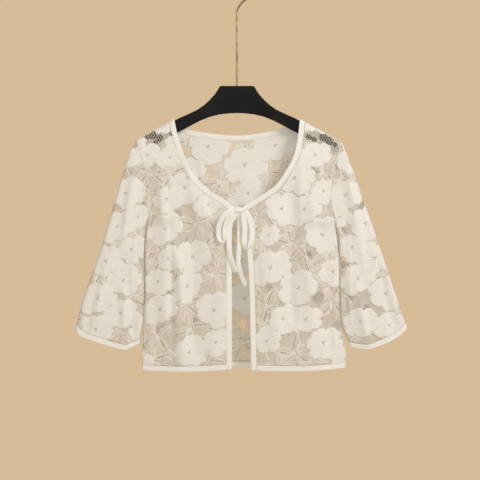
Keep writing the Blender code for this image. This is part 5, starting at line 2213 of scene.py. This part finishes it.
@dataclass
class Sleeve(Panel):
    """One sleeve as a flattened tube, with the binding round its cuff.

    Its top stands SEAM_GAP off the armhole, and EXTRA_GAP more by the underarm, over EXTRA_PART of it from
    EXTRA_START on. Over JOINED_SHARE of the way down, its depth changes from the armhole's to its own.
    Folds fade out over OUTER_FADE and INNER_FADE at its edges, and are lower on its back layer.
    """

    EXTRA_GAP = 0.4
    EXTRA_START = 0.72
    EXTRA_PART = 0.28
    JOINED_SHARE = 0.14
    OUTER_FADE = 25.0
    INNER_FADE = 20.0
    BACK_FOLD_SHARE = 0.4
    RINGS = 76
    COLUMNS, FINE_ROWS = 26, 161
    SEAM_STITCH = (1.4, -0.7)
    REAR_SEED_STEP = 40
    FOLD_REACH = 40.0
    SPRAY_MARGIN = 6.0
    SEEDS = {Side.LEFT: 24, Side.RIGHT: 25}

    side: Side = Side.LEFT
    armhole: Pairs = field(default_factory=list)
    outer_line: Pairs = field(default_factory=list)
    inner_line: Pairs = field(default_factory=list)
    cuff_line: Pairs = field(default_factory=list)
    layout: Layout = field(default_factory=Layout)

    def __post_init__(self) -> None:
        """Blends the sleeve's front view between its four edges."""
        arm, cuff = Line.through(self.armhole), Line.through(self.cuff_line)
        outer, inner = Line.through(self.outer_line), Line.through(self.inner_line)
        out = self.side.out
        rolled = [s / arm.length for s in roll_steps(SLEEVE_RADIUS)]
        tight = [s / arm.length for s in roll_steps(SLEEVE_INNER_RADIUS)]
        middle = list(np.linspace(rolled[-1], 1 - tight[-1], self.COLUMNS)[1:-1])
        self.w = np.array(rolled + middle + [1 - r for r in reversed(tight)])
        start = arm.at(self.w * arm.length)
        self.shift = SEAM_GAP + self.EXTRA_GAP * ease((self.w - self.EXTRA_START) / self.EXTRA_PART)
        start[:, 0] += out * self.shift
        end = cuff.at(self.w * cuff.length)
        down = np.linspace(0.0, 1.0, self.FINE_ROWS)
        outer_points = outer.at(down * outer.length)
        outer_points[:, 0] += out * self.shift[0] * (1 - down)
        inner_points = inner.at(down * inner.length)
        inner_points[:, 0] += out * self.shift[-1] * (1 - down)
        s, up = down[:, None, None], 1 - down[:, None, None]
        w, from_inner = self.w[None, :, None], 1 - self.w[None, :, None]
        corners = from_inner * (up * start[0] + s * end[0]) + w * (up * start[-1] + s * end[-1])
        blended = up * start[None] + s * end[None]
        self.fine = blended + from_inner * outer_points[:, None] + w * inner_points[:, None] - corners
        self.cuff_width = Line(end).length

    def along(self, runs: Callable[[float], Array]) -> tuple[Array, Array]:
        """Rows at lengths along each line of the sleeve.

        Args:
            runs: The lengths for a line of some total length.

        Returns:
            The (x, z) of each row, and the share of the way down.
        """
        lines = [Line(self.fine[:, j]) for j in range(len(self.w))]
        columns = [line.at(runs(line.length)) for line in lines]
        shares = [runs(line.length) / line.length for line in lines]
        return np.stack(columns, axis=1), np.stack(shares, axis=1)

    def tube(self, runs: Callable[[float], Array]) -> tuple[Array, Array]:
        """The tube's rings.

        Args:
            runs: The lengths of the rings along a line of some total length.

        Returns:
            The rings, down the front layer and back up the back layer, and the (x, z) of the front layer.
        """
        flat, share = self.along(runs)
        width = Line(flat[0]).length * (1 - share) + self.cuff_width * share
        from_outer, from_inner = self.w[None] * width, (1 - self.w[None]) * width
        full = SLEEVE_DEPTH + (CUFF_DEPTH - SLEEVE_DEPTH) * share
        free = full * roll(from_outer / SLEEVE_RADIUS)
        free = free * side_rise(from_inner, SLEEVE_INNER_RADIUS, SLEEVE_REACH)
        x, z = flat[..., 0] - self.side.out * self.shift[None], flat[..., 1]
        body = ARMHOLE_DEPTH * ease((z - self.armhole[-1][1]) / UNDERARM_REACH)
        body = body * roll(below_shoulder(x, z) / CREST_DROP)
        joined = ease(share / self.JOINED_SHARE)
        base = body * (1 - joined) + free * joined
        edge = roll(from_outer / self.OUTER_FADE) * roll(from_inner / self.INNER_FADE) * joined
        folds = fold_height(flat[..., 0], flat[..., 1], SLEEVE_FOLDS + SLEEVE_CREASES) * edge
        front = np.stack([flat[..., 0], -(base + folds), flat[..., 1]], axis=-1)
        back = np.stack([flat[..., 0], base - self.BACK_FOLD_SHARE * folds, flat[..., 1]], axis=-1)
        return np.concatenate([front, back[:, -2:0:-1]], axis=1), flat

    def layouts(self, ground: SleeveGround) -> list[Layout]:
        """The layouts of the front and the back layer, which share the motifs that come round the fold.

        Args:
            ground: The sleeve's surface.

        Returns:
            The two layouts, each with the motifs whose middle is on its own layer.
        """
        def inwards(motif: Motif) -> float:
            """How far a motif's middle is in from the outer fold."""
            return ground.from_fold(motif.centre[None])[2][0]

        front = self.layout.filled(ground.polygons[Layer.FRONT], Layer.FRONT)
        come_round = [
            Bloom(*ground.mirrored(b.centre[None])[0], b.radius) for b in front.blooms
            if -ground.extra < inwards(b) < self.FOLD_REACH
        ]
        rear = Layout(spacing=self.layout.spacing, seed=self.layout.seed + self.REAR_SEED_STEP)
        rear = rear.filled(ground.polygons[Layer.BACK], Layer.BACK, come_round)
        return [
            Layout([b for b in part.blooms if inwards(b) > -ground.extra],
                   [s for s in part.sprays if inwards(s) > self.SPRAY_MARGIN], part.windows)
            for part in (front, rear)
        ]

    def build(self) -> None:
        """Makes the sleeve and its cuff's binding."""
        share = np.linspace(0.0, 1.0, self.RINGS)
        grid, flat = self.tube(lambda total: (total - BINDING_WIDTH - SEAM_GAP) * share)
        outward = Layer.FRONT.outward
        ground = SleeveGround(grid, flat, self.side)
        front, rear = layouts = self.layouts(ground)
        both = np.concatenate([flat, flat[:, -2:0:-1]], axis=1)
        openness = np.concatenate([front.openness(flat), rear.openness(flat[:, -2:0:-1])], axis=1)
        name = f"sleeve_{self.side.value}"
        normal, _ = grid_normals(grid, True, outward)
        ring_row = np.append(np.arange(grid.shape[1]), 0)
        seams = [(grid[0, ring_row], normal[0, ring_row])]
        pieces = self.dress(name, grid, True, outward, ground, layouts, both, openness, self.SEEDS[self.side],
                            both, seams)
        gaps = SEAM_GAP + (BINDING_WIDTH - SEAM_GAP) * Binding().shares()
        cuff, _ = self.tube(lambda total: total - gaps + SEAM_GAP)
        cuff_name = f"cuff_binding_{self.side.value}"
        pieces.append(self.tape(cuff_name, cuff.transpose(1, 0, 2), outward, closed=True))
        self.declare(name, pieces, grid, True)
        front_layer = grid[0, 3:len(self.w) - 3]
        outwards, forwards = self.SEAM_STITCH
        self.stitching.add(front_layer + np.array([self.side.out * outwards, forwards, 0.0]))


@dataclass
class Tie:
    """One strand of the bow: a soft flat strap along its route."""

    name: str
    route: Triples
    loop: bool
    thickness: float = 2.0
    step: float = 1.6
    pinch: float = 0.15
    pinch_length: float = 12.0

    @property
    def width(self) -> float:
        """The strap's width, which is greater in a loop."""
        return 10.2 if self.loop else 8.4

    def section(self) -> Array:
        """The strap's outline: rounded edges with a faint hollow between them."""
        a = np.linspace(0.0, 2 * math.pi, 20, endpoint=False)
        u = np.sign(np.cos(a)) * np.abs(np.cos(a)) ** 0.75
        hollow = 1.0 - 0.22 * np.exp(-((u / 0.42) ** 2))
        v = np.sign(np.sin(a)) * np.abs(np.sin(a)) ** 0.75 * hollow
        return np.stack([u * self.width / 2, v * self.thickness / 2], axis=1)

    def twist(self, runs: Array, points: Array) -> Array:
        """The strap's turn about its line: flat to the front, but edge on where a loop turns back."""
        if not self.loop:
            return 0.35 * np.sin(runs / runs[-1] * 5.0)
        edge_on, spread = math.radians(76.0), 11.0
        low = float(runs[np.argmin(points[:, 2])])
        return edge_on * np.exp(-(((runs - low) / spread) ** 2)) + 0.25 * np.sin(runs / runs[-1] * 6.0)

    def build(self, finishes: Finishes) -> bpy.types.Object:
        line = Line.through(self.route, step=0.5)
        runs = np.linspace(0.0, line.length, int(line.length / self.step) + 1)
        points = line.at(runs)
        along = unit(np.gradient(points, axis=0))
        over = unit(np.cross(along, np.array([0.0, 1.0, 0.0])))
        out = np.cross(over, along)
        turn = self.twist(runs, points)
        wide = over * np.cos(turn)[:, None] + out * np.sin(turn)[:, None]
        thick = np.cross(wide, along)
        share = 1 - self.pinch + self.pinch * ease(runs / self.pinch_length)
        if self.loop:
            share *= 1 - self.pinch + self.pinch * ease((line.length - runs) / self.pinch_length)
        shape = self.section()
        rings = (
            points[:, None] + wide[:, None] * (shape[None, :, :1] * share[:, None, None])
            + thick[:, None] * shape[None, :, 1:]
        )
        n, k = rings.shape[:2]
        places = np.stack(np.meshgrid(runs, shape[:, 0], indexing="ij"), axis=-1).reshape(-1, 2)
        # Painted highlight: the tone rises towards the strap's rounded edges.
        tone = np.tile(0.35 + 0.5 * np.abs(shape[:, 0] / self.width * 2) ** 2, n)
        parts = MeshParts()
        parts.add(rings.reshape(-1, 3), tube_faces(n, k), places, 0, tone)
        piece = parts.to_object(f"{self.name}_strap", [finishes.tape])
        mesh = piece.data
        if signed_volume(mesh) < 0:
            mesh.flip_normals()
        settle_piece(piece, "binding", self.name)
        LOG.info("%s: %.1f mm long", self.name, line.length)
        return piece


def signed_volume(mesh: bpy.types.Mesh) -> float:
    """The volume of a closed mesh, below 0 if its faces look inwards."""
    mesh.calc_loop_triangles()
    co = np.empty(len(mesh.vertices) * 3)
    mesh.vertices.foreach_get("co", co)
    tris = np.empty(len(mesh.loop_triangles) * 3, dtype=np.int32)
    mesh.loop_triangles.foreach_get("vertices", tris)
    p = co.reshape(-1, 3)[tris.reshape(-1, 3)]
    return float(np.einsum("ij,ij->i", p[:, 0], np.cross(p[:, 1], p[:, 2])).sum() / 6)


@dataclass
class Knot:
    """The bow's knot: a short band of strap wrapped round its middle, gathered at both ends."""

    radii: tuple[float, float, float] = (9.4, 2.2, 5.2)
    rings: int = 40
    around: int = 48
    gather: float = 0.07
    ribbing: float = 0.035

    def build(self, finishes: Finishes) -> bpy.types.Object:
        """Makes the knot."""
        t = np.linspace(-1.0, 1.0, self.rings)
        a = np.linspace(0.0, 2 * math.pi, self.around, endpoint=False)
        tt, aa = np.meshgrid(t, a, indexing="ij")
        body = np.maximum(1.0 - np.abs(tt) ** 2.6, 0.0) ** 0.5
        pleats = 0.5 + 0.5 * np.cos(9 * aa + 2.0 * tt)
        gather = 1.0 - self.gather * ease((np.abs(tt) - 0.45) / 0.2) * pleats
        ribs = 0.5 + 0.5 * np.cos(tt * 26.0 + 0.6 * np.sin(aa))
        r = body * gather * (1.0 - self.ribbing * ease((0.5 - np.abs(tt)) / 0.1) * ribs)
        cx, cy, cz = KNOT_CENTRE
        points = np.stack([
            cx + self.radii[0] * tt, cy + self.radii[1] * r * np.cos(aa),
            cz + self.radii[2] * r * np.sin(aa) - 0.8 * tt**2,
        ], axis=-1)
        places = np.stack([tt * 9.0, aa * 5.0], axis=-1).reshape(-1, 2)
        faces = tube_faces(self.rings, self.around, caps=False)
        parts = MeshParts()
        # The tone follows the wrap's radius: painted shade in the pleats, between the ribs and at the
        # gathered ends, painted highlight on the bulge.
        parts.add(points.reshape(-1, 3), faces, places, 0, (0.45 + 0.4 * r).reshape(-1))
        piece = parts.to_object("tie_knot_wrap", [finishes.tape])
        work = bmesh.new()
        work.from_mesh(piece.data)
        bmesh.ops.remove_doubles(work, verts=work.verts, dist=0.00001)
        bmesh.ops.recalc_face_normals(work, faces=work.faces)
        work.to_mesh(piece.data)
        work.free()
        settle_piece(piece, "binding", "tie_knot")
        return piece


@dataclass
class HangerDress:
    """The hanger and its hook, whose solids stay and get their materials."""

    def build(self) -> None:
        """Gives the two nodes their finishes."""
        for name, material in (("hanger", HangerFinish().make()), ("hook", WireFinish().make())):
            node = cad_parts[name]
            if not node.material_slots:
                node.data.materials.append(material)
            for slot in node.material_slots:
                slot.material = material
            LOG.info("%s: keeps its solid", name)


# Camera, light and floor


@dataclass
class Studio:
    """The camera, the light and the plain pale floor."""

    distance: float = 2.2
    middle_x: float = 0.00555
    middle_z: float = -0.4824
    seen: float = 0.888
    plane_y: float = -0.012

    SENSOR_WIDTH = 36.0
    SIGHT = 60.0
    AIM = (0.0, 0.0, -0.46)
    KEY_COLOUR = (0.98, 0.985, 1.0)
    FILL_COLOUR = (1.0, 0.965, 0.91)
    BACK_COLOUR = (1.0, 0.93, 0.84)
    AMBIENT_COLOUR = (0.42, 0.37, 0.31, 1.0)
    BACKDROP_COLOUR = (0.68, 0.50, 0.315, 1.0)
    FLOOR_RADIUS, FLOOR_HEIGHT, FLOOR_CORNERS = 1.9, -1.35, 96

    def camera(self) -> None:
        """Sets a camera that looks straight at the fronts and sees what the picture's square holds."""
        data = bpy.data.cameras.new("camera")
        data.sensor_width = self.SENSOR_WIDTH
        data.lens = self.SENSOR_WIDTH * (self.distance + self.plane_y) / self.seen
        data.clip_end = self.SIGHT
        holder = bpy.data.objects.new("camera", data)
        holder.location = (self.middle_x, -self.distance, self.middle_z)
        holder.rotation_euler = (math.radians(90.0), 0.0, 0.0)
        bpy.context.scene.collection.objects.link(holder)
        bpy.context.scene.camera = holder

    def lamp(self, name: str, place: tuple[float, float, float], size: float, power: float,
             colour: tuple[float, float, float], shadow: bool = True) -> None:
        """Adds a soft square lamp that looks at the garment's middle.

        Args:
            name: The lamp's name.
            place: Where it stands, in metres.
            size: Its edge, in metres.
            power: Its power, in watts.
            colour: Its light's colour.
            shadow: Whether it casts shadows.
        """
        data = bpy.data.lights.new(name, "AREA")
        data.use_shadow = shadow
        data.size, data.energy, data.color = size, power, colour
        holder = bpy.data.objects.new(name, data)
        holder.location = place
        aim = Vector(self.AIM) - Vector(place)
        holder.rotation_euler = aim.to_track_quat("-Z", "Y").to_euler()
        bpy.context.scene.collection.objects.link(holder)

    def light(self) -> None:
        """Sets soft lamps at the right, the left and behind, an even warm light and the backdrop's colour."""
        self.lamp("key", (1.9, -1.7, 1.0), 1.0, 43.0, self.KEY_COLOUR)
        self.lamp("fill", (-1.2, -2.3, 0.3), 1.8, 20.5, self.FILL_COLOUR, shadow=False)
        self.lamp("back", (0.3, 2.3, 0.5), 1.8, 28.0, self.BACK_COLOUR)
        world = bpy.data.worlds.new("room")
        world.use_nodes = True
        tree = world.node_tree
        shade = tree.nodes["Background"]
        shade.inputs["Strength"].default_value = 1.0
        rays = tree.nodes.new("ShaderNodeLightPath")
        mix = tree.nodes.new("ShaderNodeMix")
        mix.data_type = "RGBA"
        mix.inputs[6].default_value = self.AMBIENT_COLOUR
        mix.inputs[7].default_value = self.BACKDROP_COLOUR
        tree.links.new(rays.outputs["Is Camera Ray"], mix.inputs[0])
        tree.links.new(mix.outputs[2], shade.inputs["Color"])
        bpy.context.scene.world = world
        bpy.context.scene.view_settings.view_transform = "Standard"

    def floor(self) -> None:
        """Adds a round pale floor below the garment."""
        points = ring(0.0, 0.0, self.FLOOR_RADIUS, self.FLOOR_CORNERS)
        mesh = bpy.data.meshes.new("floor")
        corners = [(x, y, self.FLOOR_HEIGHT) for x, y in points]
        mesh.from_pydata(corners, [], [tuple(range(self.FLOOR_CORNERS))])
        g = Graph("floor_pale", roughness=0.7)
        soft = g.noise(g.solid_place(), 3.0, 3.0)
        g.colour(g.blend(g.ramp(soft, 0.3, 0.7), tint(0.62, 0.55, 0.45), tint(0.66, 0.59, 0.49)))
        mesh.materials.append(g.material)
        made = bpy.data.objects.new("floor", mesh)
        bpy.context.scene.collection.objects.link(made)


# Where the motifs lie, as (x, z) in front view

LAYOUT_LEFT = Layout(
    blooms=[
        Bloom(-130, -407, 27, 0, 0.15), Bloom(-133, -462, 31, 1, 0.55), Bloom(-96, -386, 31, 2, 0.1),
        Bloom(-82, -514, 32, 3, 0.45), Bloom(-92, -568, 29, 1, 1), Bloom(-43, -612, 34, 2, 0.25),
        Bloom(-128, -517, 23, 0, 0.75), Bloom(-146, -560, 26, 4, 0.05), Bloom(-143, -611, 31, 1, 0.35),
        Bloom(-88, -690, 29, 2, 0.7), Bloom(-40, -671, 27, 0, 0.2), Bloom(-54, -418, 24, 1, 0.45),
        Bloom(-166, -326, 25, 3, 0.3), Bloom(-124, -330, 24, 1, 0.1), Bloom(-136, -269, 17, 4, 0.2),
        Bloom(-118, -303, 15, 2, 0.4), Bloom(-181, -303, 12, 0, 0.1),
    ],
    sprays=[
        Spray(-76, -452, 5, 0.4), Spray(-42, -547, 5, 1.1), Spray(-86, -645, 4, 0.2),
        Spray(-147, -660, 4, 0.8), Spray(-157, -362, 4, 0.5),
    ],
    windows=[
        (-168, -290, 7), (-157, -288, 8), (-143, -294, 7), (-149, -305, 8), (-122, -286, 4), (-36, -640, 8),
        (-31, -579, 7), (-78, -629, 7), (-114, -629, 7), (-128, -579, 7), (-119, -494, 6), (-88, -482, 8),
        (-67, -552, 8), (-29, -702, 8), (-130, -694, 8), (-29, -432, 7), (-108, -433, 7),
    ],
    seed=31,
)
LAYOUT_RIGHT = Layout(
    blooms=[
        Bloom(82, -425, 31, 2, 0.15), Bloom(124, -427, 31, 1, 0.45), Bloom(158, -473, 35, 2, 0.1),
        Bloom(61, -534, 36, 1, 0.3), Bloom(113, -572, 34, 3, 0.6), Bloom(84, -628, 28, 0, 0.4),
        Bloom(126, -629, 29, 1, 0.05), Bloom(54, -669, 25, 2, 0.85), Bloom(160, -673, 31, 4, 0.25),
        Bloom(58, -474, 19, 0, 0.2), Bloom(106, -368, 33, 2, 0.5), Bloom(144, -326, 28, 1, 0.2),
        Bloom(160, -392, 25, 0, 0.1), Bloom(137, -268, 17, 1, 0.1), Bloom(161, -274, 13, 3, 0.2),
    ],
    sprays=[
        Spray(101, -488, 5, 0.3), Spray(56, -604, 5, 0.9), Spray(106, -691, 5, 0.2), Spray(176, -598, 4, 0.5),
        Spray(160, -357, 4, 0.9), Spray(34, -441, 4, 0.6),
    ],
    windows=[
        (132, -292, 6), (142, -297, 6), (160, -292, 8), (170, -299, 8), (181, -306, 5), (101, -398, 7),
        (42, -430, 7), (141, -445, 7), (130, -512, 9), (85, -594, 7), (59, -568, 6), (151, -628, 8),
        (66, -650, 7), (111, -662, 8), (45, -702, 8), (30, -555, 6), (186, -640, 8),
    ],
    seed=32,
)
LAYOUT_BACK = Layout(
    blooms=[
        Bloom(14, -342, 37, 4, 0.15), Bloom(-55, -308, 35, 2, 0.3),
        Bloom(71, -306, 35, 1, 0.1), Bloom(20, -396, 29, 0, 0.45),
        Bloom(14, -592, 32, 2, 0.2), Bloom(-88, -352, 28, 1, 0.25),
        Bloom(8, -520, 31, 3, 0.05),
    ],
    sprays=[
        Spray(-31, -372, 5, 0.5), Spray(57, -358, 5, 0.2),
        Spray(8, -302, 4, 0.9), Spray(5, -678, 5, 0.7),
        Spray(12, -455, 4, 0.3),
    ],
    windows=[(-88, -312, 9), (-20, -340, 8), (42, -330, 8), (96, -330, 9), (10, -640, 9), (20, -556, 8)],
    seed=33,
)
LAYOUT_SLEEVE_LEFT = Layout(
    blooms=[
        Bloom(-198, -330, 23, 1, 0.2), Bloom(-207, -396, 31, 2, 0.15), Bloom(-222, -458, 32, 1, 0.4),
        Bloom(-196, -500, 27, 0, 0.25), Bloom(-243, -522, 32, 3, 0.1), Bloom(-210, -558, 29, 2, 0.5),
        Bloom(-258, -590, 33, 1, 0.3), Bloom(-216, -618, 29, 4, 0.15), Bloom(-262, -648, 28, 2, 0.05),
        Bloom(-184, -440, 23, 3, 0.6),
    ],
    windows=[
        (-199, -356, 6), (-217, -404, 6), (-177, -448, 7), (-216, -650, 8), (-225, -595, 7), (-182, -520, 6),
    ],
    spacing=58.0,
    seed=34,
)
LAYOUT_SLEEVE_RIGHT = Layout(
    blooms=[
        Bloom(206, -338, 23, 2, 0.2), Bloom(200, -400, 31, 1, 0.15), Bloom(238, -452, 32, 2, 0.4),
        Bloom(212, -496, 28, 0, 0.25), Bloom(255, -516, 32, 3, 0.1), Bloom(224, -554, 31, 1, 0.5),
        Bloom(276, -582, 33, 2, 0.3), Bloom(228, -634, 29, 4, 0.15), Bloom(282, -640, 28, 1, 0.05),
        Bloom(190, -440, 21, 3, 0.6),
    ],
    windows=[(197, -466, 7), (201, -528, 8), (210, -590, 7), (254, -590, 7), (240, -608, 7), (246, -652, 8)],
    spacing=58.0,
    seed=35,
)


def main() -> None:
    """Builds the camera, the ties, the cloth, the hanger's finish and the studio, in that order."""
    logging.basicConfig(level=logging.INFO, format="%(message)s")
    studio = Studio()
    studio.camera()
    finishes = Finishes()
    stitching = Stitching()
    for name, route, loop in (
        ("tie_loop_left", TIE_LOOP_LEFT, True), ("tie_loop_right", TIE_LOOP_RIGHT, True),
        ("tie_tail_left", TIE_TAIL_LEFT, False), ("tie_tail_right", TIE_TAIL_RIGHT, False),
    ):
        Tie(name, route, loop).build(finishes)
    Knot().build(finishes)
    FrontPanel(finishes, stitching, Side.LEFT, NECKLINE_LEFT, FRONT_EDGE_LEFT, ARMHOLE_LEFT, SIDE_LEFT,
               LAYOUT_LEFT).build()
    FrontPanel(finishes, stitching, Side.RIGHT, NECKLINE_RIGHT, FRONT_EDGE_RIGHT, ARMHOLE_RIGHT, SIDE_RIGHT,
               LAYOUT_RIGHT).build()
    BackPanel(finishes, stitching, LAYOUT_BACK).build()
    Sleeve(finishes, stitching, Side.LEFT, ARMHOLE_LEFT, SLEEVE_OUTER_LEFT, SLEEVE_INNER_LEFT, CUFF_LEFT,
           LAYOUT_SLEEVE_LEFT).build()
    Sleeve(finishes, stitching, Side.RIGHT, ARMHOLE_RIGHT, SLEEVE_OUTER_RIGHT, SLEEVE_INNER_RIGHT, CUFF_RIGHT,
           LAYOUT_SLEEVE_RIGHT).build()
    stitches = stitching.build("seam_stitches", finishes.thread)
    settle_piece(stitches, "binding")
    HangerDress().build()
    studio.light()
    studio.floor()


if __name__ == "__main__":
    main()
